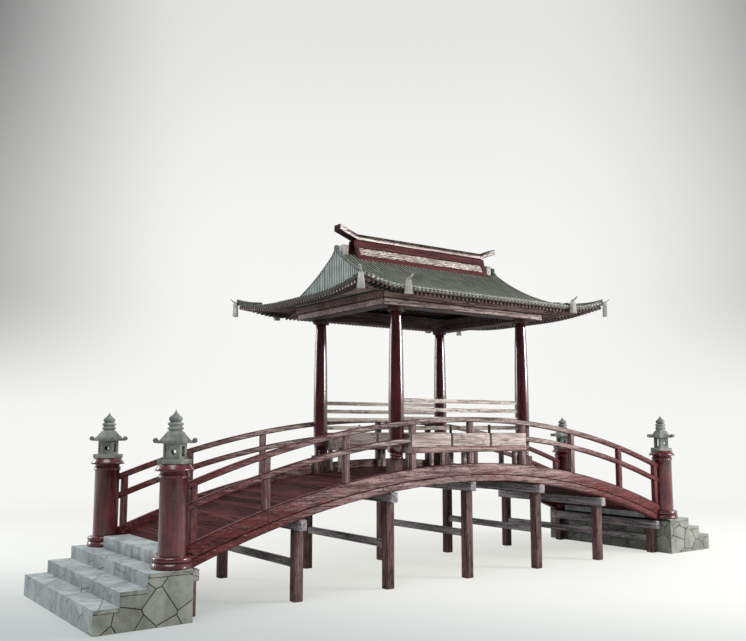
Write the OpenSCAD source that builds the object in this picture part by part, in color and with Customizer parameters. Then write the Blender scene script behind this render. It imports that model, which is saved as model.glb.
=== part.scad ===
// Moon bridge: an arched timber footbridge with a tiled pavilion over its middle,
// stone stairs at both ends and a stone lantern on each end post.
// X runs along the bridge, the front is at -Y, and Z is up from the feet of the legs.

/* [Arch] */
// Height of the girder tops at mid-span
arch_top_z = 1708; // [1600:1:1800]
// Radius of the girder tops
arch_r = 12705; // [12000:5:13500]
// Depth of the upper girder board
girder_upper_d = 176; // [140:1:200]
// Depth of the lower girder board
girder_lower_d = 99; // [70:1:130]
// Outer face of the girders, from the middle of the bridge
girder_out_y = 1225; // [1200:1:1260]
// Thickness of the upper girder board
girder_upper_t = 85; // [60:1:88]
// Thickness of the lower girder board
girder_lower_t = 140; // [120:1:170]
// Thickness of the deck
deck_t = 50; // [35:1:70]
// Half length of the deck, from mid-span to the threshold slabs
deck_half_l = 4500; // [4450:1:4560]

/* [Bents] */
// Number of bents each side of the middle one, evenly spaced to the deck's end
bents_each_side = 3; // [1:1:4]
// Distance of the leg rows from the middle of the bridge
leg_y = 1090; // [1000:1:1110]
// Side of a square leg
leg_w = 128; // [90:1:150]
// Height of a cap beam
cap_h = 140; // [100:1:160]
// Width of a cap beam
cap_w = 112; // [90:1:126]
// Half length of a cap beam
cap_half = 1250; // [1230:1:1280]
// Underside of a cross tie, as a share of the leg's height
tie_share = 0.47; // [0.3:0.01:0.6]
// Height of a cross tie
tie_h = 100; // [70:1:120]
// Most that a tie takes of its leg's height
tie_most = 0.35; // [0.25:0.01:0.4]
// Width of a cross tie
tie_w = 70; // [50:1:90]

/* [Stairs] */
// Overhang of the threshold slab beyond the platform's face
threshold_overhang = 105; // [100:1:150]
// Length of the platform along the bridge
platform_l = 550; // [530:1:700]
// Half width of the stone stairs
stair_half_w = 1425; // [1400:1:1500]
// Height of the platform over the end bent's cap beam
platform_lip = 32; // [10:1:50]
// Height of the lowest step, as a share of the platform's height
first_share = 0.45; // [0.34:0.01:0.5]
// Height of the threshold over the deck's end
threshold_lip = 15; // [0:1:30]
// Going of the lower step
lower_going = 295; // [260:1:340]
// Going of the upper step
upper_going = 313; // [260:1:340]
// Half width of the threshold slab between the posts
threshold_half_w = 940; // [880:1:945]
// Length of the threshold slab
threshold_l = 375; // [340:1:420]

/* [End posts] */
// Distance of the posts from the deck's end
post_gap = 272; // [265:1:300]
// Distance of the posts from the middle of the bridge
post_y = 1188; // [1170:1:1200]
// Radius of a post
post_r = 168; // [140:1:172]
// Radius of the base moulding
post_base_r = 236; // [200:1:237]
// Height of the base moulding
post_base_h = 150; // [110:1:180]
// Height of a post from the platform to its cap
post_h = 1137; // [1050:1:1250]
// Radius of the collar under the cap
collar_r = 182; // [174:1:200]
// Height of the collar
collar_h = 48; // [30:1:60]
// Distance from the collar up to the cap
collar_drop = 40; // [20:1:60]
// Radius of the flared cap
cap_r = 234; // [215:1:250]
// Height of the flared cap
post_cap_h = 84; // [60:1:110]

/* [Lanterns] */
// Corner radius of the lantern's foot plate
plate_r = 207; // [190:1:225]
// Height of the foot plate
plate_h = 52; // [35:1:70]
// Corner radius of the light chamber
chamber_r = 140; // [125:1:155]
// Height of the light chamber
chamber_h = 190; // [170:1:230]
// Thickness of the chamber walls
chamber_t = 26; // [18:1:34]
// Radius of the round light holes
hole_r = 29; // [20:1:36]
// Width of the square light windows
window_w = 54; // [40:1:70]
// Height of the square light windows
window_h = 120; // [90:1:130]
// Corner radius of the lantern roof at its eaves
lantern_eave_r = 220; // [200:1:230]
// Corner radius at the top of the lantern roof
lantern_top_r = 95; // [85:1:110]
// Thickness of the roof's edge
lantern_edge_h = 34; // [20:1:44]
// Height of the sloping part of the lantern roof
lantern_roof_h = 110; // [80:1:140]
// Radius of the curled corner volutes
volute_r = 31; // [22:1:36]
// Radius of the neck rings
neck_r = 96; // [85:1:105]
// Height of the neck with its rings
neck_h = 112; // [90:1:140]
// Radius of the onion finial
finial_r = 82; // [65:1:88]
// Height of the onion finial
finial_h = 163; // [130:1:200]

/* [Rails] */
// Middle of the rails, from the middle of the bridge
rail_y = 1184; // [1182:1:1186]
// Width of the rails and their posts
rail_w = 78; // [60:1:82]
// Height of the rails
rail_h = 78; // [60:1:90]
// Height of the top rail's middle over the girder
top_rail_up = 660; // [600:1:750]
// Height of the mid rail's middle over the girder
mid_rail_up = 412; // [360:1:450]
// Length of a rail post along the bridge
rail_post_l = 86; // [70:1:100]
// Distance of the first rail post from the end of the bench
rail_post_in = 58; // [56:1:100]
// Second rail post, as a share of the deck's half length
rail_post_2_share = 0.509; // [0.4:0.001:0.6]
// Third rail post, as a share of the deck's half length
rail_post_3_share = 0.783; // [0.7:0.001:0.85]
// Distance from the last rail post to the end post
rail_post_gap = 252; // [245:1:300]

/* [Pavilion] */
// Distance of the columns from mid-span
column_x = 1300; // [1280:1:1330]
// Distance of the columns from the middle of the bridge
column_y = 1030; // [1000:1:1034]
// Radius of a column at its foot
column_r = 100; // [80:1:104]
// Radius of a column under its bracket
column_top_r = 68; // [55:1:75]
// Side of the square block under a column
column_block_w = 206; // [200:1:210]
// Height of the top of that block
column_block_z = 1790; // [1760:1:1830]
// Height of the ring mouldings over the block
column_ring_h = 90; // [60:1:110]
// Height of the bracket on a column
bracket_h = 62; // [45:1:80]
// Half length of a bracket arm
bracket_half = 150; // [120:1:165]
// Width of a bracket arm
bracket_w = 96; // [80:1:110]
// Underside of the lower ring beam
ring_z = 4020; // [3950:5:4080]
// Height of the lower ring beam
ring_h = 96; // [80:1:110]
// Half length of the lower ring beam
ring_half_x = 1650; // [1620:1:1665]
// Half width of the lower ring beam
ring_half_y = 1200; // [1150:1:1250]
// Width of the ring beams
ring_w = 270; // [255:1:300]
// Projection of the upper ring beam over the lower one
fascia_out = 25; // [10:1:40]

/* [Benches] */
// Gap between a bench and the blocks under the columns
bench_gap = 14; // [10:1:20]
// Front edge of a bench, from the middle of the bridge
bench_front_y = 650; // [600:1:700]
// Back edge of a bench, just outside the rail
bench_back_y = 1242; // [1238:1:1250]
// Inset of the seat boxes from the edge of the base
seat_inset = 12; // [8:1:20]
// Underside of the bench base
bench_base_z = 1875; // [1850:1:1900]
// Thickness of the rounded bench base
bench_base_h = 90; // [70:1:110]
// Height of the seat boxes
seat_h = 195; // [150:1:220]
// Gap between seat boxes
seat_gap = 44; // [42:1:60]
// Thickness of the dividers at the ends of the seat boxes
divider_t = 12; // [8:1:12]
// Depth of a divider
divider_d = 50; // [30:1:60]
// Rise of a divider over the seat boxes
divider_up = 130; // [80:1:140]
// Side of a bench leg
bench_leg_w = 62; // [50:1:75]
// Outer line of bench legs, from the middle of the bridge
bench_leg_y = 1040; // [1000:1:1100]
// Gap between the seat boxes and the lowest slat
slat_gap = 50; // [30:1:70]
// Height of a back slat
slat_h = 62; // [45:1:75]
// Rise from one slat to the next
slat_pitch = 135; // [120:1:145]
// Number of slats
slat_count = 4; // [2:1:4]
// Thickness of a slat
slat_t = 26; // [18:1:30]

/* [Roof] */
// Top of the roof at the ridge
ridge_z = 4988; // [4900:2:5050]
// Top of the roof at the long eaves
eave_z = 4178; // [4150:2:4200]
// Radius of the hollow curve of the slopes
roof_r = 4150; // [3900:10:4600]
// Thickness of the tiled slopes
roof_t = 40; // [30:1:60]
// Depth of the rafters
rafter_d = 50; // [40:1:60]
// Width of a rafter
rafter_w = 36; // [28:1:44]
// Number of rafters on each slope
rafter_count = 41; // [21:2:45]
// Distance from the rafter ends to the long eaves
rafter_inset = 40; // [20:1:80]
// Width of a corner rafter
corner_rafter_w = 60; // [40:1:80]
// Half width of the roof at the long eaves
eave_half_y = 1800; // [1750:5:1850]
// Half length of the roof at the end eaves
eave_half_x = 2470; // [2450:5:2550]
// Half length of the gabled middle of the roof
verge_x = 1695; // [1690:1:1720]
// Top of the end skirt at the end eave
end_eave_z = 4148; // [4130:2:4170]
// Top of the end skirt at the gable
skirt_top_z = 4318; // [4310:1:4340]
// Lift of the roof corners
corner_lift = 170; // [100:5:220]
// Half width of the level stretch of the end eaves
level_half_y = 500; // [300:10:700]
// Thickness of a gable wall
gable_t = 60; // [40:1:70]
// Half thickness of the ridge beam
ridge_beam_half = 45; // [35:1:60]
// Depth of the ridge beam
ridge_beam_d = 150; // [110:1:180]

/* [Roof ridges] */
// Height of the verge ridges over the roof
verge_h = 56; // [40:1:70]
// Width of the verge and corner ridges
verge_w = 84; // [60:1:100]
// Length of the corner ridges along the diagonal
corner_ridge_l = 420; // [300:10:520]
// Rise of an upturned tip over its end block
horn_h = 72; // [50:1:100]
// Reach of an upturned tip beyond its end block
horn_l = 62; // [40:1:90]
// Width of an upturned tip
horn_w = 44; // [30:1:60]
// Height of an end block
block_h = 222; // [200:1:260]
// Height of a verge block over the eave
block_up = 126; // [100:1:140]
// Drop of a corner block's top under the lifted corner
block_drop = 10; // [0:1:30]
// Width of an end block at its foot
block_w = 104; // [90:1:120]
// Width of an end block at its top
block_top_w = 80; // [70:1:89]
// Thickness of an end block
block_t = 66; // [50:1:80]
// Radius of the round tile at a ridge end
knob_r = 46; // [38:1:55]
// Distance of the ridge stops from mid-span
stop_x = 1540; // [1500:1:1560]
// Length of a ridge stop
stop_l = 100; // [60:1:110]
// Half width of a ridge stop
stop_half = 58; // [40:1:70]
// Height of a ridge stop over the roof
stop_h = 118; // [80:1:140]

/* [Ridge box] */
// Half length of the ridge box
box_half = 1388; // [1300:2:1420]
// Half width of the ridge box at its foot
box_foot_y = 225; // [190:1:250]
// Half width of the ridge box at its top
box_top_y = 92; // [80:1:110]
// Top of the ridge box
box_top_z = 5202; // [5180:2:5240]
// Thickness of the frame's bars
frame_t = 44; // [30:1:55]
// Height of the top and bottom bars of the frame
frame_bar_h = 84; // [60:1:95]
// Width of the end bars of the frame
frame_end_w = 70; // [50:1:90]
// Thickness of the carved panel
panel_t = 18; // [12:1:24]
// Depth of the ridge board
board_h = 95; // [80:1:110]
// Half width of the ridge board
board_half_y = 104; // [95:1:120]
// Half length of the level part of the ridge board
board_level = 1330; // [1250:5:1380]
// Half length of the ridge board to its tips
board_half = 1670; // [1600:5:1700]
// Rise of the ridge board's tips
board_kick = 125; // [80:1:150]

/* [Hidden] */

red = "#5a1f22";
dark_red = "#43191b";
brown = "#4a2f2c";
weathered = "#8d7f7a";
stone = "#8f968c";
tile = "#5f6b62";
cream = "#cfc2b4";

// Angle between the points of the arch's long curves
arc_step = 0.75;
arc_fn = 720;
round_fn = 64;
eps = 1;
far = 20000;
// Clearance where a curved face seats on another
seat = 0.3;
// Clearance of the roof's bars over the skirt's facets, and of the corner rafters under them
bar_seat = 1.2;
skirt_gap = 4;

// Levels and radii that follow from the arch
arch_z = arch_top_z - arch_r;
groove_r = arch_r - girder_upper_d;
under_r = groove_r - girder_lower_d;
deck_r = groove_r + deck_t;
deck_half_y = girder_out_y - girder_upper_t;
threshold_z = arch_z + sqrt(deck_r * deck_r - deck_half_l * deck_half_l) + threshold_lip;
platform_z = cap_top(deck_half_l) + platform_lip;
first_rise = platform_z * first_share;
rise = (platform_z - first_rise) / 2;
bank_x = deck_half_l + threshold_overhang;
post_x = deck_half_l + post_gap;
// Half the angle that the arch's long curves cover, out past the end posts
arc_reach = arc_step * ceil(asin((post_x + post_r) / under_r) / arc_step);
post_top_z = platform_z + post_h + post_cap_h;
bent_xs = [for (i = [-bents_each_side:bents_each_side]) i * deck_half_l / bents_each_side];
bench_half = column_x - column_block_w / 2 - bench_gap;
rail_post_1 = bench_half - rail_post_in;
rail_post_xs = [rail_post_1, rail_post_2_share * deck_half_l, rail_post_3_share * deck_half_l,
    post_x - rail_post_gap];
bench_seat_z = bench_base_z + bench_base_h;
slat_y = column_y;
seat_top_z = bench_seat_z + seat_h;
slat_z = seat_top_z + slat_gap;
shaft_z = column_block_z + column_ring_h;
bracket_z = ring_z - bracket_h;

// Height of an arc of radius r at distance x from mid-span
function arc_at(r, x) = arch_z + sqrt(r * r - x * x);

// Centre of the roof's hollow curve, over the eave, from its chord
chord = [eave_half_y, eave_z - ridge_z];
chord_l = norm(chord);
chord_up = sqrt(roof_r * roof_r - chord_l * chord_l / 4);
roof_c = [eave_half_y / 2, (ridge_z + eave_z) / 2]
    + chord_up / chord_l * [-chord[1], chord[0]];
// Height of the roof curve of radius r at distance y from the ridge
function roof_at(r, y) = roof_c[1] - sqrt(r * r - pow(roof_c[0] - y, 2));
rafter_top_r = roof_r + roof_t;
rafter_low_r = rafter_top_r + rafter_d;
fascia_z = roof_at(rafter_low_r, ring_half_y + fascia_out);

// Top of the end skirt: the lower of the end slope and the long slope, with lifted corners
function past(v, a, b) = max(0, min(1, (v - a) / (b - a)));
function skirt_slope(x) = end_eave_z + (skirt_top_z - end_eave_z) * (1 - past(x, verge_x, eave_half_x));
function skirt_lift(x, y) = corner_lift * pow(past(x, verge_x, eave_half_x), 2)
    * pow(past(abs(y), level_half_y, eave_half_y), 2);
function skirt_at(x, y) = min(skirt_slope(x), roof_at(roof_r, abs(y))) + skirt_lift(x, y);

module mirror_x() {
    children();
    mirror([1, 0, 0]) children();
}

module mirror_y() {
    children();
    mirror([0, 1, 0]) children();
}

// A box from corner a to corner b
module span_box(a, b) {
    translate(a) cube(b - a);
}

// Points of the arch's curve at radius r, in the plane of the side view, from left to right
function arch_points(r) = [for (a = [-arc_reach:arc_step:arc_reach])
    [r * sin(a), arch_z + r * cos(a)]];
function reversed(list) = [for (i = [1:len(list)]) list[len(list) - i]];

// A side-view shape carried across the bridge from y0 to y1
module across(y0, y1) {
    translate([0, y1, 0]) rotate([90, 0, 0]) linear_extrude(y1 - y0) children();
}

// Everything under the arch's curve at radius r
module under_arch(r) {
    across(-far, far) polygon(concat(arch_points(r), [[far, -far], [-far, -far]]));
}

// A curved band between two radii, out to half_x each side
module arch_band(r_in, r_out, y0, y1, half_x) {
    across(y0, y1) intersection() {
        polygon(concat(arch_points(r_out), reversed(arch_points(r_in))));
        translate([-half_x, 0]) square([2 * half_x, far]);
    }
}

// Room for the end posts, cut from what ends at them
module post_room(gap) {
    for (sx = [-1, 1], sy = [-1, 1]) translate([sx * post_x, sy * post_y, platform_z - eps]) {
        cylinder(r = post_base_r + gap, h = post_base_h + eps + gap, $fn = round_fn);
        cylinder(r = post_r + gap, h = post_h, $fn = round_fn);
    }
}

// Stone stairs, drawn for the right end
module steps() {
    color(stone) {
        x1 = bank_x + platform_l;
        span_box([x1, -stair_half_w, 0], [x1 + upper_going, stair_half_w, first_rise + rise]);
        span_box([x1, -stair_half_w, 0],
            [x1 + upper_going + lower_going, stair_half_w, first_rise]);
    }
}

module platform() {
    color(stone)
        span_box([bank_x, -stair_half_w, 0], [bank_x + platform_l, stair_half_w, platform_z]);
}

module threshold() {
    color(stone)
        span_box([deck_half_l, -threshold_half_w, platform_z],
            [deck_half_l + threshold_l, threshold_half_w, threshold_z]);
}

module left_steps() { mirror([1, 0, 0]) steps(); }
module left_platform() { mirror([1, 0, 0]) platform(); }
module left_threshold() { mirror([1, 0, 0]) threshold(); }
module right_steps() { steps(); }
module right_platform() { platform(); }
module right_threshold() { threshold(); }

// A turned post: base moulding, shaft, collar and flared cap
module post_at(sx, sy) {
    fillet = post_base_h / 4;
    color(red) translate([sx * post_x, sy * post_y, platform_z]) {
        rotate_extrude($fn = round_fn) difference() {
            union() {
                square([post_base_r, post_base_h / 2]);
                square([post_base_r - fillet, post_base_h]);
                translate([post_base_r - fillet, post_base_h * 3 / 4]) circle(fillet, $fn = 32);
                square([post_r, post_h]);
                translate([0, post_h - collar_drop - collar_h]) square([collar_r, collar_h]);
            }
            translate([-far, -far / 2]) square([far, far]);
        }
        translate([0, 0, post_h])
            cylinder(r1 = cap_r, r2 = collar_r, h = post_cap_h, $fn = round_fn);
    }
}

module post_left_front() { post_at(-1, -1); }
module post_left_back() { post_at(-1, 1); }
module post_right_front() { post_at(1, -1); }
module post_right_back() { post_at(1, 1); }

// A six-sided prism with faces towards +X and -X
module hex_prism(r, h) {
    rotate([0, 0, 30]) cylinder(r = r, h = h, $fn = 6);
}

// The light chamber: a six-sided tube with round holes and tall windows by turns
module chamber() {
    reach = 2 * chamber_r;
    difference() {
        hex_prism(chamber_r, chamber_h);
        translate([0, 0, -eps]) hex_prism(chamber_r - chamber_t / cos(30), chamber_h + 2 * eps);
        for (i = [0:2]) {
            rotate([0, 0, 120 * i]) translate([0, 0, chamber_h * 0.45]) rotate([0, 90, 0])
                cylinder(r = hole_r, h = reach, $fn = 32);
            rotate([0, 0, 120 * i + 60])
                span_box([0, -window_w / 2, (chamber_h - window_h) / 2],
                    [reach, window_w / 2, (chamber_h + window_h) / 2]);
        }
    }
}

// The lantern roof: a thin six-sided edge, a flared slope, and a curl at each corner
module lantern_roof() {
    lip_r = volute_r * 0.5;
    hex_prism(lantern_eave_r, lantern_edge_h);
    translate([0, 0, lantern_edge_h - eps]) rotate([0, 0, 30]) hull() {
        cylinder(r = lantern_eave_r * 0.86, h = eps, $fn = 6);
        translate([0, 0, lantern_roof_h - eps]) cylinder(r = lantern_top_r, h = eps, $fn = 6);
    }
    for (i = [0:5]) rotate([0, 0, 60 * i + 30])
        translate([lantern_eave_r + volute_r * 0.4, lip_r, lantern_edge_h / 2 + volute_r * 0.5])
            rotate([90, 0, 0]) cylinder(r = volute_r, h = 2 * lip_r, $fn = 24);
}

// The neck with two rings, and the onion on it
module finial() {
    ring_r = neck_h / 7;
    rotate_extrude($fn = 48) difference() {
        union() {
            square([neck_r * 0.82, neck_h]);
            for (z = [neck_h * 0.3, neck_h * 0.8]) {
                translate([0, z - ring_r]) square([neck_r - ring_r, 2 * ring_r]);
                translate([neck_r - ring_r, z]) circle(ring_r, $fn = 24);
            }
            translate([0, neck_h]) onion_outline();
        }
        translate([-far, -far / 2]) square([far, far]);
    }
}

// Half outline of the onion: a bulb that sweeps in to a point
module onion_outline() {
    bulb_h = finial_h * 0.5;
    steps = 10;
    polygon(concat([[0, 0]],
        [for (i = [0:steps]) let (t = i / steps)
            [finial_r * sqrt(1 - pow(2 * t - 0.9, 2) * 0.62), bulb_h * t]],
        [for (i = [1:steps]) let (t = i / steps)
            [finial_r * 0.5 * pow(1 - t, 2.2) + (1 - t) * 6, bulb_h + (finial_h - bulb_h) * t]]));
}

module lantern_at(sx, sy) {
    color(stone) translate([sx * post_x, sy * post_y, post_top_z]) {
        hex_prism(plate_r, plate_h);
        translate([0, 0, plate_h - eps]) chamber();
        translate([0, 0, plate_h + chamber_h - 2 * eps]) lantern_roof();
        translate([0, 0, plate_h + chamber_h + lantern_edge_h + lantern_roof_h - 4 * eps]) finial();
    }
}

module lantern_left_front() { lantern_at(-1, -1); }
module lantern_left_back() { lantern_at(-1, 1); }
module lantern_right_front() { lantern_at(1, -1); }
module lantern_right_back() { lantern_at(1, 1); }

// Bents: two legs, a cap beam under the girders and a cross tie
function cap_top(x) = arc_at(under_r, abs(x) + cap_w / 2) - 2 * seat;
function leg_top(x) = cap_top(x) - cap_h;
function tie_z(x) = leg_top(x) * tie_share;
function tie_up(x) = min(tie_h, leg_top(x) * tie_most);

module legs() {
    color(brown) for (x = bent_xs, sy = [-1, 1])
        translate([x - leg_w / 2, sy * leg_y - leg_w / 2, 0]) cube([leg_w, leg_w, leg_top(x)]);
}

module bent_caps() {
    color(brown) for (x = bent_xs)
        translate([x - cap_w / 2, -cap_half, leg_top(x)]) cube([cap_w, 2 * cap_half, cap_h]);
}

module bent_ties() {
    half = leg_y - leg_w / 2;
    color(brown) for (x = bent_xs)
        translate([x - tie_w / 2, -half, tie_z(x)]) cube([tie_w, 2 * half, tie_up(x)]);
}

// Side girders: an upper board that stands over the deck as a kerb, and a lower one under it
module front_girder_upper() {
    color(red) difference() {
        arch_band(groove_r, arch_r, -girder_out_y, -deck_half_y, bank_x);
        post_room(seat);
    }
}

module front_girder_lower() {
    color(red) difference() {
        arch_band(under_r, groove_r, -girder_out_y, girder_lower_t - girder_out_y, bank_x);
        post_room(seat);
    }
}

module back_girder_upper() { mirror([0, 1, 0]) front_girder_upper(); }
module back_girder_lower() { mirror([0, 1, 0]) front_girder_lower(); }

module deck() {
    color(brown) arch_band(groove_r, deck_r, -deck_half_y, deck_half_y, deck_half_l);
}

// Rails, curved with the girders
module rail_band(up, half_x) {
    mid_r = arch_r + up;
    arch_band(mid_r - rail_h / 2, mid_r + rail_h / 2, -rail_y - rail_w / 2, -rail_y + rail_w / 2,
        half_x);
}

module top_rails() {
    color(dark_red) mirror_y() difference() {
        rail_band(top_rail_up, post_x);
        post_room(seat);
    }
}

module mid_rails() {
    color(dark_red) mirror_y() difference() {
        rail_band(mid_rail_up, post_x);
        post_room(seat);
        span_box([-bench_half, -far, 0], [bench_half, far, far]);
    }
}

// Rail posts, each in two lengths with the mid rail or the bench between them
module rail_posts() {
    color(dark_red) mirror_y() for (x = concat(rail_post_xs, -rail_post_xs, [0])) difference() {
        span_box([x - rail_post_l / 2, -rail_y - rail_w / 2, 0],
            [x + rail_post_l / 2, -rail_y + rail_w / 2, arch_top_z + top_rail_up]);
        under_arch(arch_r);
        if (abs(x) < bench_half)
            span_box([-bench_half, -far, bench_base_z], [bench_half, far, seat_top_z]);
        else
            arch_band(arch_r + mid_rail_up - rail_h / 2, arch_r + mid_rail_up + rail_h / 2,
                -far, far, far);
        arch_band(arch_r + top_rail_up - rail_h / 2, arch_r + far, -far, far, far);
    }
}

module column_shaft(gap) {
    translate([0, 0, shaft_z]) cylinder(r1 = column_r * 0.93 + gap, r2 = column_top_r + gap,
        h = bracket_z - shaft_z, $fn = round_fn);
}

// Columns: a block cut to the deck, ring mouldings and a shaft that tapers to its bracket
module columns() {
    color(red) mirror_x() mirror_y() translate([column_x, -column_y, 0]) {
        difference() {
            translate([-column_block_w / 2, -column_block_w / 2, 0])
                cube([column_block_w, column_block_w, column_block_z]);
            translate([-column_x, 0, 0]) under_arch(deck_r);
        }
        translate([0, 0, column_block_z]) rotate_extrude($fn = round_fn) difference() {
            union() {
                square([column_r - column_ring_h / 4, column_ring_h]);
                for (i = [1, 3]) translate([column_r - column_ring_h / 4, i * column_ring_h / 4])
                    circle(column_ring_h / 4, $fn = 24);
            }
            translate([-far, -far / 2]) square([far, far]);
        }
        column_shaft(0);
    }
}

// Cross-shaped brackets with round ends
module bracket_arm() {
    reach = bracket_half - bracket_w / 2;
    translate([-reach, -bracket_w / 2, 0]) cube([2 * reach, bracket_w, bracket_h]);
    for (s = [-1, 1]) translate([s * reach, 0, 0]) cylinder(d = bracket_w, h = bracket_h, $fn = 32);
}

module column_brackets() {
    color(dark_red) mirror_x() mirror_y() translate([column_x, column_y, ring_z - bracket_h]) {
        bracket_arm();
        rotate([0, 0, 90]) bracket_arm();
    }
}

// A level frame of beams around the pavilion
module ring_beam(half_x, half_y, z0, z1) {
    difference() {
        span_box([-half_x, -half_y, z0], [half_x, half_y, z1]);
        span_box([-ring_half_x + ring_w, -ring_half_y + ring_w, z0 - eps],
            [ring_half_x - ring_w, ring_half_y - ring_w, z1 + eps]);
    }
}

module lower_ring_beam() {
    color(weathered) ring_beam(ring_half_x, ring_half_y, ring_z, ring_z + ring_h);
}

module upper_ring_beam() {
    color(dark_red) ring_beam(ring_half_x + fascia_out, ring_half_y + fascia_out,
        ring_z + ring_h, fascia_z);
}

// Benches, drawn for the front side: a rounded base, three seat boxes and dividers at their ends
module bench_seat() {
    base_r = bench_base_h / 2;
    boxes_half = bench_half - divider_t;
    seat_l = (2 * boxes_half - 2 * seat_gap) / 3;
    step = seat_l + seat_gap;
    color(weathered) {
        translate([-bench_half, 0, bench_base_z + base_r]) rotate([90, 0, 90])
            linear_extrude(2 * bench_half) {
                translate([-bench_back_y + base_r, -base_r])
                    square([bench_back_y - bench_front_y - bench_base_h, bench_base_h]);
                for (y = [bench_front_y + base_r, bench_back_y - base_r])
                    translate([-y, 0]) circle(base_r, $fn = 32);
            }
        for (i = [-1:1])
            span_box([i * step - seat_l / 2, -bench_back_y + seat_inset, bench_seat_z - eps],
                [i * step + seat_l / 2, -bench_front_y - seat_inset, seat_top_z]);
        for (x = [-bench_half + divider_t / 2, -step / 2, step / 2, bench_half - divider_t / 2])
            span_box([x - divider_t / 2, -bench_back_y + base_r - divider_d / 2, bench_seat_z - base_r / 2],
                [x + divider_t / 2, -bench_back_y + base_r + divider_d / 2, seat_top_z + divider_up]);
    }
}

module bench_legs() {
    inset = bench_base_h;
    color(weathered) for (x = [-bench_half + inset, 0, bench_half - inset],
        y = [bench_front_y + inset, bench_leg_y]) difference() {
        span_box([x - bench_leg_w / 2, -y - bench_leg_w / 2, 0],
            [x + bench_leg_w / 2, -y + bench_leg_w / 2, bench_base_z]);
        under_arch(deck_r);
    }
}

// Slatted back: slats that run from column to column
module bench_back() {
    color(weathered) for (i = [0:slat_count - 1]) difference() {
        span_box([-column_x, -slat_y - slat_t / 2, slat_z + i * slat_pitch],
            [column_x, -slat_y + slat_t / 2, slat_z + i * slat_pitch + slat_h]);
        mirror_x() translate([column_x, -column_y, 0]) column_shaft(seat);
    }
}

module front_bench_seat() { bench_seat(); }
module front_bench_legs() { bench_legs(); }
module front_bench_back() { bench_back(); }
module back_bench_seat() { mirror([0, 1, 0]) bench_seat(); }
module back_bench_legs() { mirror([0, 1, 0]) bench_legs(); }
module back_bench_back() { mirror([0, 1, 0]) bench_back(); }

// A round about the axis of the back slope's hollow curve
module roof_round(r, half_x) {
    translate([-half_x, roof_c[0], roof_c[1]]) rotate([0, 90, 0])
        cylinder(r = r, h = 2 * half_x, $fn = arc_fn);
}

// A hollow-curved sheet under the back slope's curve, from y0 to y1
module roof_band(r_top, r_low, half_x, y0, y1) {
    intersection() {
        difference() {
            roof_round(r_low, half_x);
            roof_round(r_top, half_x + eps);
        }
        span_box([-half_x - eps, y0, ring_z], [half_x + eps, y1, ridge_z + far]);
        span_box([-half_x - eps, y0, 0], [half_x + eps, y1, roof_c[1]]);
    }
}

module back_slope() {
    color(tile) roof_band(roof_r, rafter_top_r, verge_x, 0, eave_half_y);
}

module front_slope() { mirror([0, 1, 0]) back_slope(); }

rafter_end_y = eave_half_y - rafter_inset;
rafter_pitch = 2 * (ring_half_x - gable_t - rafter_w) / (rafter_count - 1);

module rafters() {
    color(brown) mirror_y() for (i = [0:rafter_count - 1])
        translate([(i - (rafter_count - 1) / 2) * rafter_pitch, 0, 0])
            roof_band(rafter_top_r, rafter_low_r, rafter_w / 2, ridge_beam_half, rafter_end_y);
}

ridge_beam_top = roof_at(rafter_top_r, ridge_beam_half);

module ridge_beam() {
    half_x = ring_half_x + fascia_out - gable_t;
    color(brown) span_box([-half_x, -ridge_beam_half, ridge_beam_top - ridge_beam_d],
        [half_x, ridge_beam_half, ridge_beam_top]);
}

// Gable walls, standing on the upper ring beam and fitted under the slopes
module gable_half() {
    x1 = ring_half_x + fascia_out;
    difference() {
        span_box([x1 - gable_t, 0, fascia_z], [x1, ring_half_y, ridge_z]);
        intersection() {
            span_box([0, -eps, 0], [far, far, far]);
            roof_round(rafter_top_r, far);
        }
    }
}

module gables() {
    color(tile) mirror_x() {
        gable_half();
        mirror([0, 1, 0]) gable_half();
    }
}

// End skirts: a grid of points on the skirt's top, with the same grid below it
skirt_nx = 8;
skirt_ny = 28;

module skirt() {
    nx = skirt_nx;
    ny = skirt_ny;
    xs = [for (i = [0:nx]) verge_x + (eave_half_x - verge_x) * i / nx];
    ys = [for (j = [0:ny]) eave_half_y * (2 * j / ny - 1)];
    layer = (nx + 1) * (ny + 1);
    points = [for (k = [0, 1], x = xs, y = ys) [x, y, skirt_at(x, y) - k * roof_t]];
    function at(k, i, j) = k * layer + i * (ny + 1) + j;
    top = [for (i = [0:nx - 1], j = [0:ny - 1], h = [0, 1])
        h == 0 ? [at(0, i, j), at(0, i + 1, j + 1), at(0, i + 1, j)]
            : [at(0, i, j), at(0, i, j + 1), at(0, i + 1, j + 1)]];
    low = [for (f = top) [f[0] + layer, f[2] + layer, f[1] + layer]];
    rim = concat([for (j = [0:ny]) at(0, 0, j)], [for (i = [1:nx]) at(0, i, ny)],
        [for (j = [1:ny]) at(0, nx, ny - j)], [for (i = [1:nx - 1]) at(0, nx - i, 0)]);
    n = len(rim);
    side = [for (m = [0:n - 1]) let (a = rim[m], b = rim[(m + 1) % n])
        each [[a, a + layer, b + layer], [a, b + layer, b]]];
    polyhedron(points, concat(top, low, side));
}

module right_skirt() { color(tile) skirt(); }
module left_skirt() { color(tile) mirror([1, 0, 0]) skirt(); }

// Points of the skirt under a bar of width w, along its length: the highest and the lowest
function skirt_sides(p, n, w) = [for (k = [-1, 0, 1]) let (q = p + n * k * w / 2) skirt_at(q[0], q[1])];

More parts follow.
